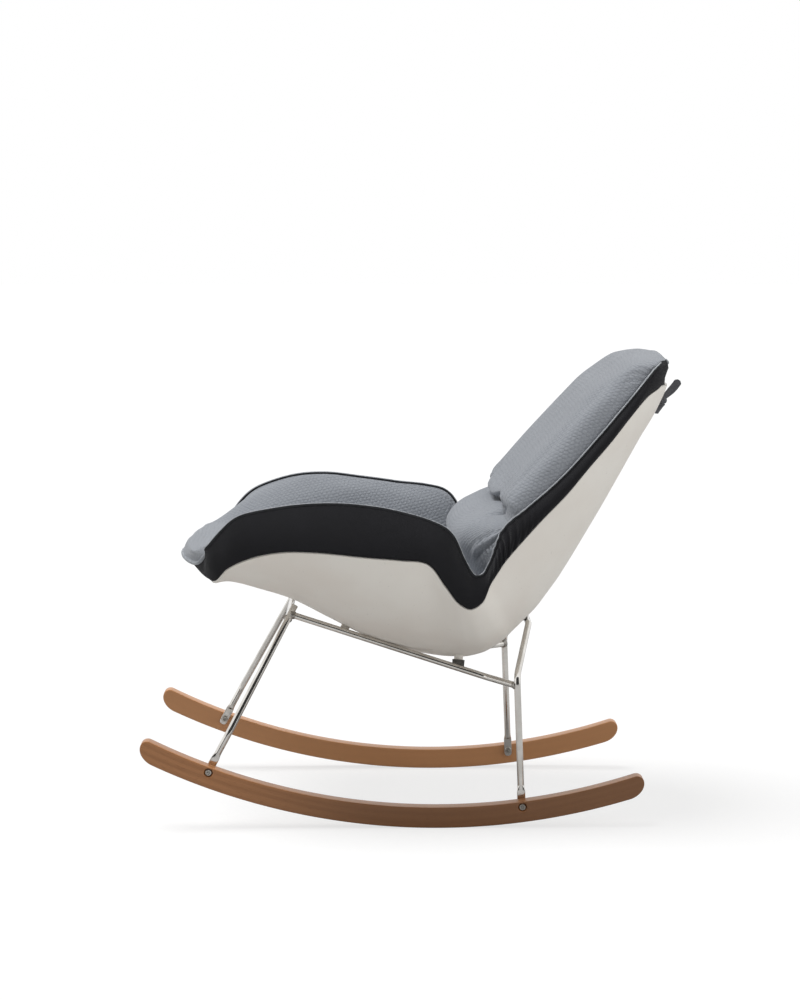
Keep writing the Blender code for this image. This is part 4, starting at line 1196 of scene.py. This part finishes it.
def creased(face, station, column, look):
    """Folds sewn into the face: the fold under the back, tufts, a tuck with gathers, soft unevenness."""
    normal = grid_normals(face)
    u = arc_lengths(face, 0, nearest(station, LUMBAR_FOLD))
    v = arc_lengths(face, 1, nearest(column, 0))
    fold = nearest(station, BACK_FOLD)
    number = station[:, None]
    place = np.abs(column)[None, :]
    height = tuft_relief(face[fold, :, 1], u, v, fold, look) + corner_fans(u, v, fold)
    height += notch_relief(u, v, number, place, look)
    low_back = bell(number, middle=18.2, width=1.1) * ramp(place, start=9, span=-3)
    height += BACK_WAVE * low_back * wave(v, pitch=0.023, shift=1.5 * np.sin(v * 17))
    top = ramp(number, start=21.5, span=3) * ramp(place, start=5, span=4)
    height += TOP_WAVE * top * wave(v, pitch=0.017, shift=u * 35)
    height += UNEVENNESS * np.sin(u * 24 + 3 * np.sin(v * 9)) * np.sin(v * 31 + 2 * np.sin(u * 13))
    loose = ramp(number, start=0, span=0.5) * ramp(number, start=LAST_STATION, span=-0.5)
    loose = ramp(place, start=CREST, span=-0.5) * loose
    return overhung(face, u - u[fold], look) + normal * (height * loose)[..., None]


def overhung(face, above, look):
    """The face at the back fold: set aback beside the middle, pulled in at the fold, rolled out above."""
    side = np.abs(face[..., 1])
    aback = bell(side, middle=0.155, width=0.055) * bell(above, middle=0, width=0.030)
    pocket = 0.72 + 0.28 * bell(side, middle=0.145, width=0.030)
    pull = look.tuft * ramp(side, start=0.197, span=-0.040) * pocket * bell(above, middle=0, width=0.009)
    roll = look.overhang * ramp(side, start=0.235, span=-0.06) * bell(above, middle=0.017, width=0.015)
    roll = roll * ramp(above, start=0, span=0.008)
    return face + aback[..., None] * FOLD_ABACK + pull[..., None] * FOLD_PULL - roll[..., None] * FOLD_ROLL


def tuft_relief(fold_y, u, v, fold, look):
    """Height about each tuft: a round pull, rays about it and, at a large one, valleys up the back."""
    height = np.zeros(u.shape)
    for tuft_y, depth, size in TUFTS:
        spot = nearest(fold_y, tuft_y)
        along = u - u[fold, spot]
        aside = v - v[fold, spot]
        far = np.hypot(along, aside)
        angle = np.arctan2(along, aside)
        height -= look.tuft * depth * np.exp(-(far / size) ** 1.6)
        rays = np.cos(8 * angle + 1.1 * np.sin(3 * angle + tuft_y * 20))
        height += RAY_HEIGHT * rays * np.exp(-far / (1.6 * size)) * smooth(far / size)
        for offset, deep in TUFT_VALLEYS if size > LARGE_TUFT else ():
            line = aside - 0.35 * along * math.copysign(1, offset)
            fading = np.exp(-np.maximum(along, 0) / 0.030) * ramp(along, start=0, span=0.010)
            height -= VALLEY_DEPTH * deep * bell(line, middle=offset, width=0.0055) * fading
    return height


def notch_relief(u, v, number, place, look):
    """Height of a tuck that runs in from the back's corner, gathers below it and pleats at the notch."""
    beyond = place - 6.4
    line = 14.25 + 0.12 * beyond + 0.09 * np.maximum(beyond, 0) ** 2
    aside = (number - line) * np.gradient(u, number[:, 0], axis=0)
    tuck = TUCK_RIDGE * bell(aside, middle=0.009, width=0.006)
    tuck -= TUCK_GROOVE * bell(aside, middle=0, width=0.0046)
    below = ramp(aside, start=0, span=-0.006) * ramp(number, start=10.2, span=0.8)
    below *= ramp(place, start=6.8, span=1)
    notch = bell(number, middle=11.2, width=1.5) * ramp(place, start=5.5, span=4.2)
    wander = 0.9 * np.sin(u * 60) + 0.6 * np.sin(v * 47 + u * 90)
    height = ramp(place, start=6, span=1.2) * tuck
    height += GATHERS * below * wave(v, pitch=0.0085, shift=wander)
    height += NOTCH_PLEATS * notch * wave(u, pitch=0.0135, shift=wander)
    return look.pleat * height


def corner_fans(u, v, fold):
    """Height of folds that fan out from each corner of the back's edge over the lumbar roll."""
    height = np.zeros(u.shape)
    for edge in (0, -1):
        along = u - u[fold, edge]
        aside = np.abs(v - v[fold, edge])
        far = np.hypot(along, aside)
        angle = np.arctan2(along, aside)
        fan = np.cos(11 * angle + 0.8 * np.sin(4 * angle)) * (along < 0)
        height += FAN_HEIGHT * fan * np.exp(-far / 0.035) * smooth(far / 0.010)
    return height


def gathered(skin, station, column):
    """Pleats drawn up in the band behind the notch and faint waves along the rest of it."""
    number = station[:, None]
    t = band_share(column)[None, :]
    along = arc_lengths(skin, 0, 0)
    pleats = bell(number, middle=15.8, width=1.9)
    height = BAND_PLEAT * pleats * wave(along, pitch=0.016, shift=2.5 * t + np.sin(number * 1.7))
    height += BAND_WAVE * wave(along, pitch=0.085, shift=1.3 * np.sin(along * 19))
    on_band = np.sin(np.pi * t) ** 0.7 * (np.abs(column) > RIM)
    return skin - grid_normals(skin) * (height * on_band)[..., None]


def drawn_to_front(skin, face, station):
    """The hidden side drawn up to the face's front edge over the first stations, with a bulge below."""
    ease = smooth(station / FRONT_DRAW_STATIONS)[:, None, None]
    return skin + (1 - ease) * (face[0] - skin[0])[None] * FRONT_DRAW + np.sin(math.pi * ease) * FRONT_BULGE


def build_piping(look, face, skin, station):
    """Rolls laid along the crest, in six runs whose ends sink in, and a pale edge line on each side."""
    seat = (face + skin) / 2
    lift = unit(grid_normals(face) - grid_normals(skin))
    top = LAST_STATION - SINK_TOP
    steady = np.clip(np.arange(len(station)), np.argmax(station > SINK_FRONT), np.argmax(station > top) - 1)
    lift[:, [0, -1]] = lift[steady][:, [0, -1]]
    sunk = np.maximum(smooth(1 - station / SINK_FRONT), smooth(station - top))
    rise = np.tile(PIPING_RISE - PIPING_SINK * sunk[:, None], (1, seat.shape[1]))
    rise[[0, -1]] = PIPING_RISE
    rise[[0, 0, -1, -1], [0, -1, 0, -1]] = CORNER_RISE
    notch = nearest(station, NOTCH)
    dark = piping_fabric("dark binding", (46, 47, 50), (18, 19, 21))
    pale = piping_fabric("grey binding", (186, 189, 193), (128, 133, 138))
    thread = piping_fabric("edge thread", (196, 199, 203), (150, 154, 159))
    arm, back = slice(None, notch + 1), slice(notch, None)
    # Node, where it runs on the grid, radius, binding, and which of its ends keep their full size
    runs = (
        ("arm_left_piping", (arm, 0), look.piping, dark, (0, 1)),
        ("arm_right_piping", (arm, -1), look.piping, dark, (0, 1)),
        ("back_left_piping", (back, 0), look.piping, dark, (1, 0)),
        ("back_right_piping", (back, -1), look.piping, dark, (1, 0)),
        ("front_piping", (0, slice(None)), look.lip, pale, (0, 0)),
        ("top_piping", (-1, slice(None)), look.lip, pale, (0, 0)),
    )
    for node, where, radius, binding, full in runs:
        path = evenly(seat[where] + lift[where] * radius * rise[where][:, None], PIPING_STEP)
        run = np.arange(len(path)) * PIPING_STEP / PIPING_TAPER
        size = radius * (0.2 + 0.8 * smooth(run + full[0]) * smooth(run[::-1] + full[1]))
        body = tube_body(tube_points(path, size, size, side=(0, 0, 1), sides=14))
        stand_in(node, body, binding)
    for side, column, inner in (("left", 0, 2), ("right", -1, -3)):
        up_face = unit(face[:, inner] - face[:, column]) * LINE_INWARD
        high = (LINE_RISE - LINE_SINK * sunk)[:, None]
        line = evenly(seat[:, column] + (lift[:, column] * high + up_face) * look.piping, PIPING_STEP)
        body = tube_body(tube_points(line, look.thread, look.thread, side=(0, 0, 1), sides=10))
        piece("edge_line_" + side, fill_mesh("edge_line_" + side, *body), [thread])


# Rockers

ROCKER_STEPS = 181
END_STEPS = 17
EDGE_STEPS = 7
FLAT_STEPS = 3
GRAIN_APART = 2.0
DOUBLES = 1e-6
# Counterbore with a broken edge: radius and depth
HOLE = ((COUNTERBORE + 0.0022, -0.001), (COUNTERBORE + 0.0010, 0.0),
        (COUNTERBORE, 0.0010), (COUNTERBORE, COUNTERBORE_DEPTH))


def rocker_points(edge):
    """Bar bent to an arc, in rings round its edge; each end is a quarter ellipse below and one above."""
    middle = ROCKER_RADIUS - ROCKER_HEIGHT / 2
    half_width, half_height = ROCKER_WIDTH / 2, ROCKER_HEIGHT / 2
    tip = END_RISE * half_height
    run = np.linspace(-ROCKER_FRONT, ROCKER_REAR, ROCKER_STEPS)
    share = np.linspace(-1, 1, ROCKER_STEPS)
    low = run - share * (END_LOW - half_height) / ROCKER_RADIUS
    high = run + share * (half_height - END_HIGH) / ROCKER_RADIUS
    quarter = np.linspace(0, math.pi / 2, END_STEPS)[1:]
    upper = quarter[:-1]
    along = half_height + np.concatenate((END_LOW * (np.sin(quarter) - 1), END_HIGH * (np.cos(upper) - 1)))
    lower_end = (half_height + tip) * np.cos(quarter)
    down = np.concatenate((lower_end, (tip - half_height) * np.sin(upper))) - tip

    def arc(angle, radius, ahead=0.0):
        """Points at angle on a radius about the rocker's centre, moved ahead along the arc's tangent."""
        x = radius * np.sin(angle) + ahead * np.cos(angle)
        return np.stack((x, ROCKER_RADIUS - radius * np.cos(angle) + ahead * np.sin(angle)), -1)

    outline = np.concatenate((
        arc(low, ROCKER_RADIUS), arc(ROCKER_REAR, middle + down, along),
        arc(high[::-1], ROCKER_RADIUS - ROCKER_HEIGHT), arc(-ROCKER_FRONT, middle + down, -along)[::-1]))
    ends = np.full(len(along), 1.0)
    centre = arc(np.concatenate((run, ends * ROCKER_REAR, run[::-1], -ends * ROCKER_FRONT)), middle)
    turn = np.linspace(0, math.pi / 2, EDGE_STEPS)
    flat = np.linspace(0, half_height - edge, FLAT_STEPS, endpoint=False)
    out = np.concatenate((flat, half_height - edge + edge * np.sin(turn))) / half_height
    wide = np.concatenate((np.full(FLAT_STEPS, -half_width), -half_width + edge - edge * np.cos(turn)))
    out = np.concatenate((out, out[::-1]))
    wide = np.concatenate((wide, -wide[::-1]))
    plane = centre[None] + out[:, None, None] * (outline - centre)[None]
    return pack_xyz(plane[..., 0], wide[:, None], plane[..., 1])


def bolt_spot(where):
    """A bolt's x and z: the height on the arc that lies BOLT_RISE inside the running edge."""
    x = BOLT_X[where]
    return x, ROCKER_RADIUS - math.sqrt((ROCKER_RADIUS - BOLT_RISE) ** 2 - x ** 2)


class CHAIR_OT_rockers(bpy.types.Operator):
    """Two bent wooden rockers with counterbored bolt holes"""

    bl_idname = "chair.rockers"
    bl_label = "Rockers"

    def execute(self, context):
        look = context.scene.chair_rockers
        wood = rocker_wood(look)
        for side, sign in SIDES:
            grid = rocker_points(look.edge)
            grid[..., 1] += sign * (ROCKER_OUTER_Y - ROCKER_WIDTH / 2)
            points = grid.reshape(-1, 3)
            faces = outward(points, grid_faces(*grid.shape[:2], wrap_columns=True))
            made = stand_in("rocker_" + side, (points, faces), wood, merge=DOUBLES)
            for where in BOLT_X:
                cut(made, *turned(HOLE, beside(where, sign, ROCKER_OUTER_Y, -1), 48))
            mesh = made.data
            spots = np.empty(len(mesh.vertices) * 3, np.float32)
            mesh.vertices.foreach_get("co", spots)
            spots = spots.reshape(-1, 3) - SHIFT
            angle = np.arctan2(spots[:, 0], ROCKER_RADIUS - spots[:, 2])
            radius = np.hypot(spots[:, 0], ROCKER_RADIUS - spots[:, 2])
            along = angle * ROCKER_RADIUS + GRAIN_APART * sign
            grain = np.stack((along, spots[:, 1], ROCKER_RADIUS - radius), -1)
            store = mesh.attributes.new("grain", "FLOAT_VECTOR", "POINT")
            store.data.foreach_set("vector", np.ascontiguousarray(grain, np.float32).ravel())
        return {"FINISHED"}


def beside(where, sign, out, way):
    """A placing matrix at a bolt on one side, out from the middle, whose Z points outwards if way is 1."""
    x, z = bolt_spot(where)
    return frame_at(np.array((x, sign * out, z)) + SHIFT, (0, sign * way, 0), (0, 0, 1))


# Tubes

FOOT_STEPS = 90
FOOT_EASE = 0.013
NOSE_POWER = 3.5
PATH_STEP = 0.004
BEND_RISE = 0.86
WELD_FROM = 0.0035
WELD_LENGTH = 0.0062


def leg_path(bolt, further, sign):
    """Foot, flattened paddle, and round tube up through the further points."""
    foot = np.array((bolt[0], sign * PADDLE_Y, bolt[1]))
    aim = further[0] - foot
    aim[1] = 0
    aim = unit(aim)
    start = foot + aim * FOOT_LENGTH
    start[1] = sign * TUBE_Y
    run = evenly(rounded([start, start + aim * BEND, *further], BEND), PATH_STEP)
    low = np.linspace(-PADDLE_NOSE * 0.999, FOOT_LENGTH, FOOT_STEPS)[:-1]
    share = ramp(low, PADDLE_FLAT, FOOT_EASE)
    flat = foot + aim * low[:, None]
    flat[:, 1] = towards(sign * PADDLE_Y, sign * TUBE_Y, share)
    share = np.concatenate((share, np.ones(len(run))))
    wide = towards(PADDLE_HALF_WIDTH, TUBE, share)
    nose = np.clip(-low / PADDLE_NOSE, 0, 1)
    wide[:len(low)] *= (1 - nose ** NOSE_POWER) ** (1 / NOSE_POWER)
    deep = towards(PADDLE_THICKNESS / 2, TUBE, share)
    return np.concatenate((flat, run)) + SHIFT, wide, deep, 2 + 3 * (1 - share)


def rail_ends(sign):
    """Where a side rail meets the front leg and the rear leg, and the bend between them."""
    x, z = bolt_spot("rear")
    share = (RAIL_REAR_Z - z) / (REAR_KNEE[1] - z)
    at_rear = np.array((towards(x, REAR_KNEE[0], share), sign * TUBE_Y, RAIL_REAR_Z))
    return on_front_leg(RAIL_FRONT_Z, sign), RAIL_BEND * (1, sign, 1), at_rear


def on_front_leg(height, sign):
    """The middle of a front leg at a height: straight from its bend to its top."""
    x, z = bolt_spot("front")
    share = (height - z) / (FRONT_LEG_TOP[2] - z)
    low = z + (FOOT_LENGTH + BEND) * BEND_RISE
    lean = (height - low) / (FRONT_LEG_TOP[2] - low)
    y = sign * towards(TUBE_Y, FRONT_LEG_TOP[1], lean)
    return np.array((towards(x, FRONT_LEG_TOP[0], share), y, height))


def weld(at, along, height):
    """Bead round a tube's end: a ring whose radius falls from tube + height to the tube along the tube."""
    place = frame_at(at + SHIFT, along - at, (0.3, 0.9, 0.2))
    fall = [(TUBE + height * math.cos(t * math.pi / 2) ** 0.8, WELD_FROM + WELD_LENGTH * t)
            for t in np.linspace(0, 1, 9)]
    return turned([(TUBE + height, 0.0)] + fall, place, 32)


class CHAIR_OT_tubes(bpy.types.Operator):
    """Bent chrome legs, side rails, cross tubes and their weld beads"""

    bl_idname = "chair.tubes"
    bl_label = "Tube frame"

    def execute(self, context):
        look = context.scene.chair_frame
        chrome = polished_steel(look)
        low, high = node_box("rear_cross_tube")
        arch_mid = (low + high) / 2 - SHIFT
        beads = []
        for side, sign in SIDES:
            knee = np.array((REAR_KNEE[0], sign * TUBE_Y, REAR_KNEE[1]))
            arch = [arch_mid + (0, sign * half, 0) for half in (REAR_ARCH_HALF, REAR_CROSS_HALF)]
            for where, further in (("front", [FRONT_LEG_TOP * (1, sign, 1)]), ("rear", [knee, *arch])):
                body = tube_body(tube_points(*leg_path(bolt_spot(where), further, sign)))
                stand_in(where + "_leg_" + side, body, chrome)
            at_front, bend, at_rear = rail_ends(sign)
            path = evenly(rounded([at_rear, bend, at_front], BEND), PATH_STEP) + SHIFT
            body = tube_body(tube_points(path, TUBE, TUBE, side=(0, 0.1, 1)))
            stand_in("side_rail_" + side, body, chrome)
            cross_at = on_front_leg(FRONT_CROSS_Z, sign)
            beads += [weld(at_front, bend, look.weld), weld(at_rear, bend, look.weld),
                      weld(cross_at, cross_at * (1, 0, 1), look.weld)]
        half = np.array((0, REAR_CROSS_HALF, 0))
        front_ends = [on_front_leg(FRONT_CROSS_Z, sign) for _, sign in SIDES]
        for node, ends, count in (("front_cross_tube", front_ends, 40),
                                  ("rear_cross_tube", (arch_mid - half, arch_mid + half), 16)):
            path = np.linspace(*ends, count) + SHIFT
            stand_in(node, tube_body(tube_points(path, TUBE, TUBE, side=(0, 0, 1))), chrome)
        bead_metal = fitting_metal("weld bead", (178, 174, 168), (140, 136, 130), 0.22)
        piece("weld_beads", fill_mesh("weld_beads", *joined(beads)), [bead_metal])
        return {"FINISHED"}


# Fasteners: outlines as radius and height, from the bottom of the socket to the end of the shank
BOLT = ((0.0032, -0.0022), (0.0032, -0.0046), (0.0034, -0.0050), (0.0050, -0.0050),
        (0.0056, -0.0047), (0.0058, -0.0041), (0.0058, 0.0), (0.0030, 0.0), (0.0030, 0.0215))
NUT = ((0.0027, -0.0013), (0.0027, -0.0027), (0.0030, -0.0030), (0.0056, -0.0030),
       (0.0064, -0.0020), (0.0065, -0.0014), (0.0065, 0.0), (0.0042, 0.0), (0.0042, 0.0180))
SOCKET_ROWS = (1, 1, 0, 0, 0, 0, 0, 0, 0)
SOCKET_CORNERS = 6
BOLT_Y = ROCKER_OUTER_Y - COUNTERBORE_DEPTH + GAP
NUT_Y = INNER_Y - 2 * GAP - PADDLE_THICKNESS
# Start of the node's name, outline, distance from the middle plane, and whether it points outwards
FASTENERS = (("leg_bolt_", BOLT, BOLT_Y, -1), ("sleeve_nut_", NUT, NUT_Y, 1))


class CHAIR_OT_fasteners(bpy.types.Operator):
    """Socket bolts in the rockers, sleeve nuts inside, and finishes of the seat fittings"""

    bl_idname = "chair.fasteners"
    bl_label = "Fasteners"

    def execute(self, context):
        zinc = fitting_metal("zinc plate", (208, 204, 197), (168, 163, 155), 0.28)
        steel = fitting_metal("tab steel", (186, 182, 176), (150, 146, 140), 0.20)
        plastic = bpy.data.materials.get("moulded plastic") or shell_plastic(context.scene.chair_shell)
        rubber = soft_rubber()
        for side, sign in SIDES:
            for where in BOLT_X:
                ending = where + "_" + side
                for node, outline, out, way in FASTENERS:
                    body = turned(outline, beside(where, sign, out, way), 48, SOCKET_CORNERS, SOCKET_ROWS)
                    stand_in(node + ending, body, zinc)
                dress("boss_" + ending, plastic)
                dress("seat_tab_" + ending, steel)
                dress("seat_screw_" + ending, zinc)
            dress("bumper_" + side, rubber)
        return {"FINISHED"}


def dress(node, material):
    """Give a CAD node that stays in view its finish."""
    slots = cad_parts[node].material_slots
    if not slots:
        raise RuntimeError(node + " has no material slot")
    for slot in slots:
        slot.material = material


# Tie

KNOT_RINGS = 33
KNOT_SIDES = 48
KNOT_WRAP = 0.07
KNOT_LOBES = 0.05
KNOT_SHARE = 0.98
# Loose ends: node, whether it runs up and back or down and forward, and its curl
TAILS = (("tie_tail_short", -1, -0.25), ("tie_tail_long", 1, 0.35))
TAIL_STEPS = 26
TAIL_REACH = 0.92
TAIL_CURL = 0.008
TAIL_SWAY = 0.002
TAIL_ROOT = 0.0052
TAIL_SPREAD = 0.0022
TAIL_TAPER = 0.6
RIBBON_HALF = 0.0012


class CHAIR_OT_tie(bpy.types.Operator):
    """Tie ribbon: strap through the shell, knot and two loose ends"""

    bl_idname = "chair.tie"
    bl_label = "Tie"

    def execute(self, context):
        cloth = tie_ribbon_cloth()
        dress("tie_strap", cloth)
        low, high = node_box("tie_knot")
        turn = np.linspace(0, math.pi, KNOT_RINGS)[:, None]
        about = np.arange(KNOT_SIDES) * 2 * math.pi / KNOT_SIDES
        wrap = 1 + KNOT_WRAP * np.cos(6 * turn + about * 2) - KNOT_LOBES * np.cos(about * 3)
        ball = np.stack(np.broadcast_arrays(
            np.cos(turn), np.sin(turn) * np.cos(about), np.sin(turn) * np.sin(about)), -1) * wrap[..., None]
        body = tube_body((low + high) / 2 + ball[1:-1] * (high - low) / 2 * KNOT_SHARE)
        stand_in("tie_knot", body, cloth)
        t = np.linspace(0, 1, TAIL_STEPS)
        for node, way, curl in TAILS:
            low, high = node_box(node)
            root = (low if way > 0 else high) * (1, 0, 1)
            path = root + t[:, None] * (high - low) * (way, 0, way) * TAIL_REACH
            path[:, 0] += curl * TAIL_CURL * np.sin(t * math.pi)
            path[:, 1] += TAIL_SWAY * np.sin(t * 5)
            wide = TAIL_ROOT + TAIL_SPREAD * smooth(t * 2)
            wide *= 1 - TAIL_TAPER * ramp(t, start=0.86, span=0.14) ** 2
            body = tube_body(tube_points(path, wide, RIBBON_HALF, power=5.0, side=(0, 1, 0), sides=24))
            stand_in(node, body, cloth)
        return {"FINISHED"}


class CHAIR_PT_panel(bpy.types.Panel):
    """The chair's pieces and their settings"""

    bl_idname = "CHAIR_PT_panel"
    bl_label = "Rocking Chair"
    bl_space_type = "VIEW_3D"
    bl_region_type = "UI"
    bl_category = "Rocking Chair"

    def draw(self, context):
        for operator in OPERATORS:
            self.layout.operator(operator.bl_idname)
        for name, group in SETTINGS.items():
            box = self.layout.box()
            for key in group.__annotations__:
                box.prop(getattr(context.scene, name), key)


OPERATORS = (CHAIR_OT_stage, CHAIR_OT_shell, CHAIR_OT_cushion, CHAIR_OT_rockers, CHAIR_OT_tubes,
             CHAIR_OT_fasteners, CHAIR_OT_tie)
CLASSES = (*SETTINGS.values(), *OPERATORS, CHAIR_PT_panel)


def register():
    """Add the classes and the scene's settings."""
    for item in CLASSES:
        bpy.utils.register_class(item)
    for name, group in SETTINGS.items():
        setattr(bpy.types.Scene, name, PointerProperty(type=group))


def unregister():
    """Take them away again."""
    for name in SETTINGS:
        delattr(bpy.types.Scene, name)
    for item in reversed(CLASSES):
        bpy.utils.unregister_class(item)


def main():
    """Register and build every piece in order."""
    register()
    bpy.ops.chair.stage()
    bpy.ops.chair.shell()
    bpy.ops.chair.cushion()
    bpy.ops.chair.rockers()
    bpy.ops.chair.tubes()
    bpy.ops.chair.fasteners()
    bpy.ops.chair.tie()


if __name__ == "__main__":
    main()
